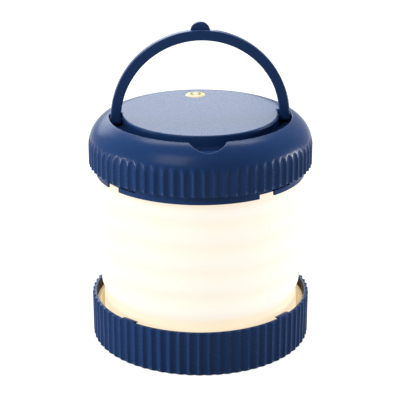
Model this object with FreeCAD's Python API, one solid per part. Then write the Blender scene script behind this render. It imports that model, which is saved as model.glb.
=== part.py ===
import FreeCAD
import Part
import math
import os

# Collapsible camping lantern: a fluted cap and a fluted base joined by a soft bellows shade.
# Millimetres, +Z up, origin at the middle of the foot ring's lower face, front at -Y.

# Overall sizes
BODY_RADIUS = 60.0
FLUTE_COUNT = 72
FLUTE_DEPTH = 1.2
FLUTE_LAND = 0.5
OPEN_GAP = 74.8
RUNNING_CLEARANCE = 0.05
SEAT_CLEARANCE = 0.2
CUT_MARGIN = 1.0

# Base tray
BASE_HEIGHT = 25.0
BASE_WALL = 1.2
BASE_FLOOR = 2.2
BASE_RECESS_DEPTH = 2.0
BASE_RECESS_RADIUS = 50.0
BASE_EDGE_CHAMFER = 0.7
FOOT_HEIGHT = 0.5
FOOT_SEAT_DEPTH = 1.2
FOOT_INNER_RADIUS = 53.5
FOOT_OUTER_RADIUS = 57.0
LEDGE_HEIGHT = 19.2

# Bayonet: lugs on the base rim, slots in the cap's skirt
LUG_COUNT = 4
LUG_FIRST_ANGLE = 45.0
LUG_WIDTH_ANGLE = 8.4
LUG_RISE = 0.75
LUG_THICKNESS = 1.1
LUG_TIP = 0.45
LUG_WALL_COVER = 1.1
CLOSED_GAP = 0.15
LOCK_ANGLE = 12.5
NOTCH_PLAY_ANGLE = 0.7
SLOT_PLAY = 1.2

# Bellows shade
BELLOWS_CREST_RADIUS = 54.6
BELLOWS_FOLD_DEPTH = 2.4
BELLOWS_WALL = 1.1
BELLOWS_PITCH = 13.8
BELLOWS_WAVES = 5
BELLOWS_TOP_COLLAR = 3.8
BELLOWS_FLANGE = 1.5
BELLOWS_FLANGE_WIDTH = 5.0

# Cap shell
CAP_HEIGHT = 26.5
CAP_WALL = 2.2
CAP_TOP_WALL = 2.4
DOME_RADIUS = 17.0
SEAL_RIB_WIDTH = 2.0
SEAL_RIB_HEIGHT = 1.5

# Skirt, swivel ring and retainer under the cap
SKIRT_HEIGHT = 4.9
SKIRT_WALL = 1.0
SLEEVE_WALL = 0.6
SLEEVE_DROP = 3.0
SKIRT_SHADE_CLEARANCE = 0.3
SKIRT_SEAT_DEPTH = 3.2
SKIRT_FLANGE = 1.6
SWIVEL_THICKNESS = 1.5
SWIVEL_SIDE_GAP = 1.9
SWIVEL_CLEARANCE = 0.2
RETAINER_WALL = 4.9
RETAINER_SIDE_GAP = 0.3
RETAINER_LIP = 1.2
RETAINER_LIP_OVERLAP = 1.5

# Lamp plate and light source
LAMP_PLATE = 2.0
LEAD_HOLE_RADIUS = 3.0
LED_BOARD_GAP = 3.5
LED_BOARD = 1.6
LED_WIDTH = 3.5
LED_DEPTH = 2.8
LED_HEIGHT = 0.7
LED_OUTER_COUNT = 12
LED_EDGE_INSET = 8.0
LED_INNER_COUNT = 6
LENS_SIDE_GAP = 1.2
LENS_WALL = 1.5
LENS_DEPTH = 7.0
SEAL_THICKNESS = 1.2

# Handle, its groove and the finger notch
HANDLE_OUTER_RADIUS = 47.7
HANDLE_WIDTH = 5.4
HANDLE_DEPTH = 4.8
HANDLE_EDGE = 0.7
HANDLE_PIVOT_DROP = 2.9
TAB_WIDTH = 10.1
TAB_HEIGHT = 3.9
TAB_THICKNESS = 2.0
GROOVE_SIDE_CLEARANCE = 0.75
GROOVE_DEPTH = 6.7
GROOVE_WALL = 2.0
POCKET_BACK_CLEARANCE = 0.5
NOTCH_RADIUS = 9.65
NOTCH_CENTRE_INSET = 0.4
PIN_RADIUS = 1.0
PIN_SEAT = 1.8

# Button and switch
BUTTON_RADIUS = 5.8
BUTTON_RISE = 0.75
BUTTON_CENTRE_Y = 34.7
BUTTON_CLEARANCE = 0.15
BUTTON_FLANGE_RADIUS = 7.2
BUTTON_FLANGE = 1.0
BUTTON_STEM_RADIUS = 2.4
BUTTON_TRAVEL = 0.8
SWITCH_SIDE = 6.2
SWITCH_HEIGHT = 3.6
PLUNGER_RADIUS = 1.7
PLUNGER_RISE = 1.2
PLUNGER_DEPTH = 1.6

# Control board and battery
BOARD_WIDTH = 34.0
BOARD_BATTERY_GAP = 10.0
BOARD_WALL_GAP = 6.6
BOARD_THICKNESS = 1.6
BOARD_STANDOFF = 1.2
BOARD_POST_RADIUS = 2.6
BOARD_POST_INSET = 3.4
BATTERY_LENGTH = 60.0
BATTERY_WIDTH = 36.0
BATTERY_HEIGHT = 8.0
BATTERY_CENTRE_Y = -6.0
BATTERY_EDGE = 1.5
STRAP_WIDTH = 10.0
STRAP_THICKNESS = 1.0
STRAP_FOOT = 7.0
LEAD_RADIUS = 0.7
LEAD_SPACING = 2.5
LEAD_SOCKET_DEPTH = 4.5
LEAD_SOCKET_WIDTH = 7.5
LEAD_SOCKET_HEIGHT = 3.4

# Charging port at the back
SOCKET_WIDTH = 9.0
SOCKET_HEIGHT = 3.2
SOCKET_DEPTH = 7.5
SOCKET_OVERHANG = 3.4
SOCKET_SHELL = 0.35
SOCKET_TONGUE = 0.7
PORT_PLAY = 0.7
PORT_BLOCK_WALL = 5.0
PORT_BLOCK_DEPTH = 6.5
FLAP_WIDTH = 16.4
FLAP_HEIGHT = 8.0
FLAP_THICKNESS = 1.7
FLAP_CLEARANCE = 0.3
FLAP_BARREL_RADIUS = 1.0
FLAP_PIN_RADIUS = 0.5
FLAP_PLUG_DEPTH = 1.3
FLAP_PIN_SEAT = 1.2

# Screws
SCREW_COUNT = 6
SCREW_HEAD_MARGIN = 0.1
SCREW_RADIUS = 1.5
SCREW_CLEARANCE = 0.2
SCREW_HEAD_RADIUS = 2.6
SCREW_HEAD_HEIGHT = 1.4
SCREW_DRIVE = 1.4
SCREW_DRIVE_DEPTH = 0.8
CAP_SCREW_GRIP = 9.0
BOSS_RADIUS = 3.3
BASE_BOSS_RADIUS = 3.0
BASE_BOSS_GAP = 0.3
SMALL_SCREW_RADIUS = 1.0
SMALL_HEAD_RADIUS = 2.0
SMALL_HEAD_HEIGHT = 1.2

# Places and radii worked out from the sizes above
VALLEY_RADIUS = BODY_RADIUS - FLUTE_DEPTH
BASE_INNER_RADIUS = VALLEY_RADIUS - BASE_WALL
FLOOR_LOW = FOOT_HEIGHT + BASE_RECESS_DEPTH
FLOOR_TOP = FLOOR_LOW + BASE_FLOOR
BELLOWS_VALLEY_RADIUS = BELLOWS_CREST_RADIUS - BELLOWS_FOLD_DEPTH
BELLOWS_COLLAR_RADIUS = (BELLOWS_CREST_RADIUS + BELLOWS_VALLEY_RADIUS) / 2
BELLOWS_FLANGE_INNER_RADIUS = BELLOWS_COLLAR_RADIUS - BELLOWS_WALL - BELLOWS_FLANGE_WIDTH
BASE_SCREW_CIRCLE = BELLOWS_FLANGE_INNER_RADIUS - BASE_BOSS_RADIUS - BASE_BOSS_GAP
CAP_EDGE = BASE_HEIGHT + OPEN_GAP
CAP_TOP = CAP_EDGE + CAP_HEIGHT
BELLOWS_TOP_VALLEY = CAP_EDGE - BELLOWS_TOP_COLLAR
CAP_INNER_RADIUS = VALLEY_RADIUS - CAP_WALL
CAP_CEILING = CAP_TOP - CAP_TOP_WALL
SKIRT_LOW = CAP_EDGE - SKIRT_HEIGHT
SKIRT_INNER_RADIUS = BELLOWS_CREST_RADIUS + SKIRT_SHADE_CLEARANCE
SLEEVE_RADIUS = SKIRT_INNER_RADIUS + SLEEVE_WALL
SLEEVE_LOW = CAP_EDGE - SLEEVE_DROP
SKIRT_OUTER_RADIUS = SLEEVE_RADIUS + SKIRT_WALL
SKIRT_SEAT_RADIUS = CAP_INNER_RADIUS - SEAT_CLEARANCE
SKIRT_FLANGE_LOW = CAP_EDGE + SKIRT_SEAT_DEPTH
LAMP_PLATE_LOW = SKIRT_FLANGE_LOW + SKIRT_FLANGE
LAMP_PLATE_TOP = LAMP_PLATE_LOW + LAMP_PLATE
SWIVEL_TOP = SKIRT_FLANGE_LOW - SWIVEL_CLEARANCE
SWIVEL_LOW = SWIVEL_TOP - SWIVEL_THICKNESS
BELLOWS_TOP = SWIVEL_LOW
RETAINER_LIP_TOP = SWIVEL_LOW - SWIVEL_CLEARANCE
RETAINER_LOW = RETAINER_LIP_TOP - RETAINER_LIP
SWIVEL_OUTER_RADIUS = SKIRT_INNER_RADIUS - SWIVEL_SIDE_GAP
RETAINER_LIP_RADIUS = BELLOWS_FLANGE_INNER_RADIUS - RETAINER_SIDE_GAP
SWIVEL_INNER_RADIUS = RETAINER_LIP_RADIUS - RETAINER_LIP_OVERLAP
RETAINER_BODY_RADIUS = SWIVEL_INNER_RADIUS - 2 * SWIVEL_CLEARANCE
RETAINER_INNER_RADIUS = RETAINER_BODY_RADIUS - RETAINER_WALL
SCREW_CIRCLE = RETAINER_INNER_RADIUS + SCREW_HEAD_RADIUS + SCREW_HEAD_MARGIN
LENS_RADIUS = RETAINER_INNER_RADIUS - LENS_SIDE_GAP
LED_BOARD_RADIUS = LENS_RADIUS - LENS_WALL - LED_BOARD_GAP
LED_OUTER_RADIUS = LED_BOARD_RADIUS - LED_EDGE_INSET
LED_INNER_RADIUS = LED_OUTER_RADIUS / 2
HANDLE_INNER_RADIUS = HANDLE_OUTER_RADIUS - HANDLE_WIDTH
PIVOT_HEIGHT = CAP_TOP - HANDLE_PIVOT_DROP
GROOVE_INNER_RADIUS = HANDLE_INNER_RADIUS - GROOVE_SIDE_CLEARANCE
GROOVE_OUTER_RADIUS = HANDLE_OUTER_RADIUS + GROOVE_SIDE_CLEARANCE
GROOVE_FLOOR = CAP_TOP - GROOVE_DEPTH
NOTCH_CENTRE_RADIUS = (GROOVE_INNER_RADIUS + GROOVE_OUTER_RADIUS) / 2 - NOTCH_CENTRE_INSET
BOARD_FRONT_Y = BATTERY_CENTRE_Y + BATTERY_WIDTH / 2 + BOARD_BATTERY_GAP
BOARD_BACK_Y = CAP_INNER_RADIUS - BOARD_WALL_GAP
BOARD_LOW = LAMP_PLATE_TOP + BOARD_STANDOFF
BOARD_TOP = BOARD_LOW + BOARD_THICKNESS
PORT_LOW = BOARD_TOP - PORT_PLAY
PORT_TOP = BOARD_TOP + SOCKET_HEIGHT + 2 * PORT_PLAY
PORT_HALF_WIDTH = SOCKET_WIDTH / 2 + PORT_PLAY
FLAP_AXIS_Z = BOARD_TOP + SOCKET_HEIGHT / 2 - FLAP_HEIGHT / 2
FLAP_INNER_Y = VALLEY_RADIUS - CAP_WALL / 2
FLAP_AXIS_Y = FLAP_INNER_Y + FLAP_BARREL_RADIUS
FLAP_RECESS_Y = FLAP_INNER_Y - FLAP_CLEARANCE / 2
FLAP_TOP_Z = FLAP_AXIS_Z + FLAP_HEIGHT
LUG_TOP = BASE_HEIGHT + LUG_RISE
LUG_INNER_RADIUS = SLEEVE_RADIUS + SEAT_CLEARANCE
COLLAPSE_TRAVEL = OPEN_GAP - LUG_RISE - CLOSED_GAP
CAP_SCREW_TIP = LAMP_PLATE_TOP + CAP_SCREW_GRIP
Z_AXIS = FreeCAD.Vector(0, 0, 1)


def point(x, y, z):
    return FreeCAD.Vector(x, y, z)


def polar(radius, angle, height=0.0):
    turn = math.radians(angle)
    return point(radius * math.cos(turn), radius * math.sin(turn), height)


def disc(radius, low, high, x=0.0, y=0.0):
    return Part.makeCylinder(radius, high - low, point(x, y, low))


def ring(inner, outer, low, high):
    return disc(outer, low, high).cut(disc(inner, low, high))


def block(width, front, back, low, high, middle=0.0):
    return Part.makeBox(width, back - front, high - low, point(middle - width / 2, front, low))


def turned(outline):
    """Solid of revolution about Z from a closed outline of (radius, height) pairs."""
    corners = [point(radius, 0, height) for radius, height in outline]
    wire = Part.makePolygon(corners + corners[:1])
    return Part.Face(wire).revolve(point(0, 0, 0), Z_AXIS, 360)


def sector(inner, outer, low, high, start, sweep):
    """Piece of a ring between two angles, in degrees."""
    corners = [point(inner, 0, low), point(outer, 0, low), point(outer, 0, high), point(inner, 0, high)]
    face = Part.Face(Part.makePolygon(corners + corners[:1]))
    face.rotate(point(0, 0, 0), Z_AXIS, start)
    return face.revolve(point(0, 0, 0), Z_AXIS, sweep)


def around(shape, count):
    """Copies of a shape spread about Z."""
    copies = []
    for index in range(count):
        copy = shape.copy()
        copy.rotate(point(0, 0, 0), Z_AXIS, index * 360.0 / count)
        copies.append(copy)
    return copies


def screw(radius, head_radius, head_height, low, tip, x, y):
    """Pan-head screw standing up from its head, with a square drive in the head."""
    body = disc(head_radius, low - head_height, low, x, y).fuse(disc(radius, low, tip, x, y))
    half = SCREW_DRIVE / 2
    drive_top = low - head_height + SCREW_DRIVE_DEPTH
    drive = block(SCREW_DRIVE, y - half, y + half, low - head_height, drive_top, x)
    return body.cut(drive).removeSplitter()


def fluted_prism(low, high, phase):
    """Upright prism with scalloped sides. Phase 0 puts a valley at the front, 0.5 a ridge."""
    pitch = 360.0 / FLUTE_COUNT
    land = math.degrees(FLUTE_LAND / BODY_RADIUS)
    edges = []
    for index in range(FLUTE_COUNT):
        middle = -90.0 + (index + phase) * pitch
        start = polar(BODY_RADIUS, middle - (pitch - land) / 2, low)
        valley = polar(VALLEY_RADIUS, middle, low)
        end = polar(BODY_RADIUS, middle + (pitch - land) / 2, low)
        following = polar(BODY_RADIUS, middle + (pitch + land) / 2, low)
        edges.append(Part.Arc(start, valley, end).toShape())
        edges.append(Part.LineSegment(end, following).toShape())
    return Part.Face(Part.Wire(edges)).extrude(point(0, 0, high - low))


def dome(radius, low, top, rounding):
    """Cylinder with a rounded shoulder and a flat top."""
    shoulder = radius - rounding
    bend = math.sqrt(0.5) * rounding
    corners = [point(0, 0, low), point(radius, 0, low), point(radius, 0, top - rounding)]
    arc_middle = point(shoulder + bend, 0, top - rounding + bend)
    arc_end = point(shoulder, 0, top)
    edges = [
        Part.LineSegment(corners[0], corners[1]).toShape(),
        Part.LineSegment(corners[1], corners[2]).toShape(),
        Part.Arc(corners[2], arc_middle, arc_end).toShape(),
        Part.LineSegment(arc_end, point(0, 0, top)).toShape(),
        Part.LineSegment(point(0, 0, top), corners[0]).toShape(),
    ]
    return Part.Face(Part.Wire(edges)).revolve(point(0, 0, 0), Z_AXIS, 360)


def base_shell():
    edge = BODY_RADIUS - BASE_EDGE_CHAMFER
    outside = turned([
        (0, FOOT_HEIGHT),
        (edge, FOOT_HEIGHT),
        (BODY_RADIUS + CUT_MARGIN, FOOT_HEIGHT + BASE_EDGE_CHAMFER + CUT_MARGIN),
        (BODY_RADIUS + CUT_MARGIN, BASE_HEIGHT),
        (0, BASE_HEIGHT),
    ])
    shell = outside.common(fluted_prism(FOOT_HEIGHT, BASE_HEIGHT, 0.5))
    shell = shell.cut(disc(BASE_INNER_RADIUS, FLOOR_TOP, BASE_HEIGHT))
    shell = shell.cut(disc(BASE_RECESS_RADIUS, FOOT_HEIGHT, FLOOR_LOW))
    shell = shell.cut(foot_ring())
    hole = disc(SMALL_SCREW_RADIUS + SCREW_CLEARANCE, FLOOR_LOW, FLOOR_TOP, BASE_SCREW_CIRCLE)
    shell = shell.cut(Part.makeCompound(around(hole, SCREW_COUNT)))
    return shell.fuse(around(lug(), LUG_COUNT))


def lug():
    """Bayonet lug, with a lead-in slope from the wall down to its tip."""
    low = LUG_TOP - LUG_THICKNESS
    outer = BASE_INNER_RADIUS + LUG_WALL_COVER
    whole = sector(
        LUG_INNER_RADIUS, outer, low, LUG_TOP, LUG_FIRST_ANGLE - LUG_WIDTH_ANGLE / 2, LUG_WIDTH_ANGLE,
    )
    return whole.common(turned([
        (LUG_INNER_RADIUS, low),
        (outer, low),
        (outer, LUG_TOP),
        (BASE_INNER_RADIUS, LUG_TOP),
        (LUG_INNER_RADIUS, low + LUG_TIP),
    ]))


def base_inner_ring():
    return ring(SKIRT_INNER_RADIUS, BASE_INNER_RADIUS - SEAT_CLEARANCE / 2, FLOOR_TOP, LEDGE_HEIGHT)


def foot_ring():
    return ring(FOOT_INNER_RADIUS, FOOT_OUTER_RADIUS, 0, FOOT_HEIGHT + FOOT_SEAT_DEPTH)


def reflector_plate():
    flange_top = FLOOR_TOP + BELLOWS_FLANGE
    plate = disc(BELLOWS_COLLAR_RADIUS - BELLOWS_WALL - SEAT_CLEARANCE, flange_top, flange_top + BASE_FLOOR)
    for boss in around(disc(BASE_BOSS_RADIUS, FLOOR_TOP, flange_top, BASE_SCREW_CIRCLE), SCREW_COUNT):
        plate = plate.fuse(boss)
    hole = disc(SMALL_SCREW_RADIUS, FLOOR_TOP, base_screw_tip(), BASE_SCREW_CIRCLE)
    return plate.cut(Part.makeCompound(around(hole, SCREW_COUNT)))


def base_screw_tip():
    return FLOOR_TOP + BELLOWS_FLANGE + BASE_FLOOR / 2


def base_screws():
    one = screw(
        SMALL_SCREW_RADIUS, SMALL_HEAD_RADIUS, SMALL_HEAD_HEIGHT, FLOOR_LOW, base_screw_tip(),
        BASE_SCREW_CIRCLE, 0,
    )
    return around(one, SCREW_COUNT)


def wave_edges(offset, bottom, top):
    """Edges of the bellows' wavy wall from collar to collar: arcs that meet halfway out."""
    crest = BELLOWS_CREST_RADIUS - offset
    valley = BELLOWS_VALLEY_RADIUS - offset
    middle = (crest + valley) / 2
    half = BELLOWS_PITCH / 2
    height = BELLOWS_TOP_VALLEY - BELLOWS_WAVES * BELLOWS_PITCH - half / 2
    edges = [Part.LineSegment(point(middle, 0, bottom), point(middle, 0, height)).toShape()]
    for index in range(2 * BELLOWS_WAVES + 1):
        reach = valley if index % 2 == 0 else crest
        start = point(middle, 0, height)
        end = point(middle, 0, height + half)
        edges.append(Part.Arc(start, point(reach, 0, height + half / 2), end).toShape())
        height += half
    edges.append(Part.LineSegment(point(middle, 0, height), point(middle, 0, top)).toShape())
    return edges


def bellows():
    """One wall with its waves, an inward flange at each end."""
    outer_collar = BELLOWS_COLLAR_RADIUS
    inner_collar = BELLOWS_COLLAR_RADIUS - BELLOWS_WALL
    flange_top = FLOOR_TOP + BELLOWS_FLANGE
    flange_low = BELLOWS_TOP - BELLOWS_FLANGE
    edges = wave_edges(0, FLOOR_TOP, BELLOWS_TOP) + wave_edges(BELLOWS_WALL, flange_top, flange_low)
    upper_flange = [
        (outer_collar, BELLOWS_TOP), (BELLOWS_FLANGE_INNER_RADIUS, BELLOWS_TOP),
        (BELLOWS_FLANGE_INNER_RADIUS, flange_low), (inner_collar, flange_low),
    ]
    lower_flange = [
        (inner_collar, flange_top), (BELLOWS_FLANGE_INNER_RADIUS, flange_top),
        (BELLOWS_FLANGE_INNER_RADIUS, FLOOR_TOP), (outer_collar, FLOOR_TOP),
    ]
    for run in (upper_flange, lower_flange):
        corners = [point(radius, 0, height) for radius, height in run]
        for start, end in zip(corners, corners[1:]):
            edges.append(Part.LineSegment(start, end).toShape())
    wire = Part.Wire(Part.__sortEdges__(edges))
    return Part.Face(wire).revolve(point(0, 0, 0), Z_AXIS, 360)


def bellows_swivel_ring():
    return ring(SWIVEL_INNER_RADIUS, SWIVEL_OUTER_RADIUS, SWIVEL_LOW, SWIVEL_TOP)


def skirt_ring():
    """Slotted outer wall around a plain sleeve, which closes the slots' backs and carries the flange."""
    entry_half = LUG_WIDTH_ANGLE / 2 + NOTCH_PLAY_ANGLE
    entry_start = LUG_FIRST_ANGLE - LOCK_ANGLE - entry_half
    slot_sweep = LOCK_ANGLE + 2 * entry_half
    slot_low = CAP_EDGE - CLOSED_GAP - LUG_THICKNESS - SLOT_PLAY
    inside = SLEEVE_RADIUS - CUT_MARGIN
    outside = SKIRT_OUTER_RADIUS + CUT_MARGIN
    entry = sector(inside, outside, SKIRT_LOW - CUT_MARGIN, CAP_EDGE, entry_start, 2 * entry_half)
    slot = sector(inside, outside, slot_low, CAP_EDGE, entry_start, slot_sweep)
    wall = ring(SLEEVE_RADIUS, SKIRT_OUTER_RADIUS, SKIRT_LOW, CAP_EDGE)
    wall = wall.cut(Part.makeCompound(around(entry, LUG_COUNT)))
    wall = wall.cut(Part.makeCompound(around(slot, LUG_COUNT)))
    sleeve = turned([
        (SKIRT_INNER_RADIUS, SLEEVE_LOW),
        (SLEEVE_RADIUS, SLEEVE_LOW),
        (SLEEVE_RADIUS, CAP_EDGE),
        (SKIRT_SEAT_RADIUS, CAP_EDGE),
        (SKIRT_SEAT_RADIUS, LAMP_PLATE_LOW),
        (RETAINER_INNER_RADIUS, LAMP_PLATE_LOW),
        (RETAINER_INNER_RADIUS, SKIRT_FLANGE_LOW),
        (SKIRT_INNER_RADIUS, SKIRT_FLANGE_LOW),
    ])
    body = sleeve.fuse(wall).removeSplitter()
    return body.cut(cap_screw_holes(SKIRT_FLANGE_LOW, LAMP_PLATE_LOW))


def swivel_retainer():
    body = ring(RETAINER_INNER_RADIUS, RETAINER_BODY_RADIUS, RETAINER_LOW, SKIRT_FLANGE_LOW)
    lip = ring(RETAINER_BODY_RADIUS, RETAINER_LIP_RADIUS, RETAINER_LOW, RETAINER_LIP_TOP)
    body = body.fuse(lip).removeSplitter()
    return body.cut(cap_screw_holes(RETAINER_LOW, SKIRT_FLANGE_LOW))


def cap_screw_holes(low, high):
    hole = disc(SCREW_RADIUS + SCREW_CLEARANCE, low, high, SCREW_CIRCLE)
    return Part.makeCompound(around(hole, SCREW_COUNT))


def cap_screws():
    one = screw(
        SCREW_RADIUS, SCREW_HEAD_RADIUS, SCREW_HEAD_HEIGHT, RETAINER_LOW, CAP_SCREW_TIP, SCREW_CIRCLE, 0,
    )
    return around(one, SCREW_COUNT)


def board_post_places():
    side = BOARD_WIDTH / 2 - BOARD_POST_INSET
    return [(side, BOARD_FRONT_Y + BOARD_POST_INSET), (-side, BOARD_FRONT_Y + BOARD_POST_INSET)]


def strap_screw_places():
    side = BATTERY_LENGTH / 2 + STRAP_THICKNESS + STRAP_FOOT / 2
    return [(side, BATTERY_CENTRE_Y), (-side, BATTERY_CENTRE_Y)]


def lamp_plate():
    plate = disc(SKIRT_SEAT_RADIUS, LAMP_PLATE_LOW, LAMP_PLATE_TOP)
    for x, y in board_post_places():
        plate = plate.fuse(disc(BOARD_POST_RADIUS, LAMP_PLATE_TOP, BOARD_LOW, x, y))
    plate = plate.cut(cap_screw_holes(LAMP_PLATE_LOW, LAMP_PLATE_TOP))
    plate = plate.cut(disc(LEAD_HOLE_RADIUS, LAMP_PLATE_LOW, LAMP_PLATE_TOP, 0, lamp_lead_y()))
    for x, y in board_post_places() + strap_screw_places():
        plate = plate.cut(disc(SMALL_SCREW_RADIUS, LAMP_PLATE_LOW, BOARD_LOW, x, y))
    return plate


def lamp_lead_y():
    return BOARD_FRONT_Y + LEAD_SOCKET_DEPTH + LEAD_HOLE_RADIUS


def seal_ring():
    inner = CAP_INNER_RADIUS - SEAL_RIB_WIDTH
    return ring(inner, SKIRT_SEAT_RADIUS, LAMP_PLATE_TOP, LAMP_PLATE_TOP + SEAL_THICKNESS)


def led_board():
    return disc(LED_BOARD_RADIUS, LAMP_PLATE_LOW - LED_BOARD, LAMP_PLATE_LOW)


def leds():
    top = LAMP_PLATE_LOW - LED_BOARD
    chips = []
    for count, radius in ((LED_OUTER_COUNT, LED_OUTER_RADIUS), (LED_INNER_COUNT, LED_INNER_RADIUS)):
        chip = block(LED_DEPTH, -LED_WIDTH / 2, LED_WIDTH / 2, top - LED_HEIGHT, top, radius)
        chips.extend(around(chip, count))
    return chips


def lens():
    body = disc(LENS_RADIUS, LAMP_PLATE_LOW - LENS_DEPTH, LAMP_PLATE_LOW)
    lower_edge = [edge for edge in body.Edges if edge.BoundBox.ZMax < body.BoundBox.Center.z]
    body = body.makeFillet(LENS_WALL, lower_edge)
    return body.cut(disc(LENS_RADIUS - LENS_WALL, LAMP_PLATE_LOW - LENS_DEPTH + LENS_WALL, LAMP_PLATE_LOW))


def half_ring(inner, outer, low, high, back):
    """Front half of a ring, with straight ends that reach back past the pivots."""
    front = sector(inner, outer, low, high, 180, 180)
    for side in (-1, 1):
        middle = side * (inner + outer) / 2
        front = front.fuse(block(outer - inner, 0, back, low, high, middle))
    return front.removeSplitter()


def groove_cut():
    high = CAP_TOP + CUT_MARGIN
    back = HANDLE_DEPTH / 2 + POCKET_BACK_CLEARANCE
    groove = half_ring(GROOVE_INNER_RADIUS, GROOVE_OUTER_RADIUS, GROOVE_FLOOR, high, back)
    notch = disc(NOTCH_RADIUS, GROOVE_FLOOR, high, 0, -NOTCH_CENTRE_RADIUS)
    return groove.fuse(notch.cut(disc(GROOVE_INNER_RADIUS, GROOVE_FLOOR, high)))


def groove_walls():
    low = GROOVE_FLOOR - GROOVE_WALL
    back = HANDLE_DEPTH / 2 + POCKET_BACK_CLEARANCE + GROOVE_WALL
    inner = GROOVE_INNER_RADIUS - GROOVE_WALL
    outer = GROOVE_OUTER_RADIUS + GROOVE_WALL
    walls = half_ring(inner, outer, low, CAP_TOP, back)
    return walls.fuse(disc(NOTCH_RADIUS + GROOVE_WALL, low, CAP_TOP, 0, -NOTCH_CENTRE_RADIUS))


def port_tunnel(front, back):
    return block(2 * PORT_HALF_WIDTH, front, back, PORT_LOW, PORT_TOP)


def port_block():
    return block(
        2 * PORT_HALF_WIDTH + 2 * PORT_BLOCK_WALL, FLAP_RECESS_Y - PORT_BLOCK_DEPTH, FLAP_RECESS_Y,
        LAMP_PLATE_TOP + SEAL_THICKNESS, PORT_TOP + GROOVE_WALL,
    )


def flap_recess():
    low = FLAP_AXIS_Z - FLAP_BARREL_RADIUS - FLAP_CLEARANCE
    high = FLAP_TOP_Z + FLAP_CLEARANCE
    return block(FLAP_WIDTH + 2 * FLAP_CLEARANCE, FLAP_RECESS_Y, BODY_RADIUS + CUT_MARGIN, low, high)


def along_x(radius, start, end, y, z):
    return Part.makeCylinder(radius, end - start, point(start, y, z), point(1, 0, 0))


def handle_pin_spans():
    start = GROOVE_INNER_RADIUS - PIN_SEAT
    end = GROOVE_OUTER_RADIUS + PIN_SEAT
    return [(start, end), (-end, -start)]


def cap_shell():
    outside = dome(BODY_RADIUS, CAP_EDGE, CAP_TOP, DOME_RADIUS)
    outside = outside.common(fluted_prism(CAP_EDGE, CAP_TOP, 0.0))
    inside = dome(CAP_INNER_RADIUS, CAP_EDGE, CAP_CEILING, DOME_RADIUS - CAP_WALL)
    rib_low = LAMP_PLATE_TOP + SEAL_THICKNESS
    rib_inner = CAP_INNER_RADIUS - SEAL_RIB_WIDTH
    inside = inside.cut(ring(rib_inner, BODY_RADIUS, rib_low, rib_low + SEAL_RIB_HEIGHT))
    inside = inside.cut(groove_walls())
    inside = inside.cut(port_block())
    boss = disc(BOSS_RADIUS, LAMP_PLATE_TOP, CAP_TOP, SCREW_CIRCLE)
    inside = inside.cut(Part.makeCompound(around(boss, SCREW_COUNT)))
    shell = outside.cut(inside)
    shell = shell.cut(groove_cut())
    hole = disc(SCREW_RADIUS, LAMP_PLATE_TOP, CAP_SCREW_TIP, SCREW_CIRCLE)
    shell = shell.cut(Part.makeCompound(around(hole, SCREW_COUNT)))
    hole_radius = BUTTON_RADIUS + BUTTON_CLEARANCE
    shell = shell.cut(disc(hole_radius, CAP_CEILING - CUT_MARGIN, CAP_TOP + CUT_MARGIN, 0, BUTTON_CENTRE_Y))
    shell = shell.cut(flap_recess())
    shell = shell.cut(port_tunnel(FLAP_RECESS_Y - PORT_BLOCK_DEPTH - CUT_MARGIN, FLAP_RECESS_Y + CUT_MARGIN))
    for start, end in handle_pin_spans():
        shell = shell.cut(along_x(PIN_RADIUS, start, end, 0, PIVOT_HEIGHT))
    pin_half = flap_pin_half_length()
    return shell.cut(along_x(FLAP_PIN_RADIUS, -pin_half, pin_half, FLAP_AXIS_Y, FLAP_AXIS_Z))


def flap_pin_half_length():
    return FLAP_WIDTH / 2 + FLAP_CLEARANCE + FLAP_PIN_SEAT


def handle_pins():
    return [along_x(PIN_RADIUS, start, end, 0, PIVOT_HEIGHT) for start, end in handle_pin_spans()]


def rounded_section(inner, outer, half_depth, edge):
    """Rectangle with rounded corners in the plane of the pivot, radius along X and depth along Y."""
    bend = edge * (1 - math.sqrt(0.5))
    corners = [(outer, -1, 1), (outer, 1, 1), (inner, 1, -1), (inner, -1, -1)]
    runs = []
    for radius, y_side, r_side in corners:
        flat_end = point(radius, y_side * (half_depth - edge), PIVOT_HEIGHT)
        bend_mid = point(radius - r_side * bend, y_side * (half_depth - bend), PIVOT_HEIGHT)
        face_end = point(radius - r_side * edge, y_side * half_depth, PIVOT_HEIGHT)
        runs.append((flat_end, bend_mid, face_end))
    edges = []
    for index, (flat_end, bend_mid, face_end) in enumerate(runs):
        edges.append(Part.Arc(flat_end, bend_mid, face_end).toShape())
        following = runs[(index + 1) % len(runs)]
        if index % 2 == 0:
            edges.append(Part.LineSegment(flat_end, following[0]).toShape())
        else:
            edges.append(Part.LineSegment(face_end, following[-1]).toShape())
    return Part.Face(Part.Wire(Part.__sortEdges__(edges)))


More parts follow.
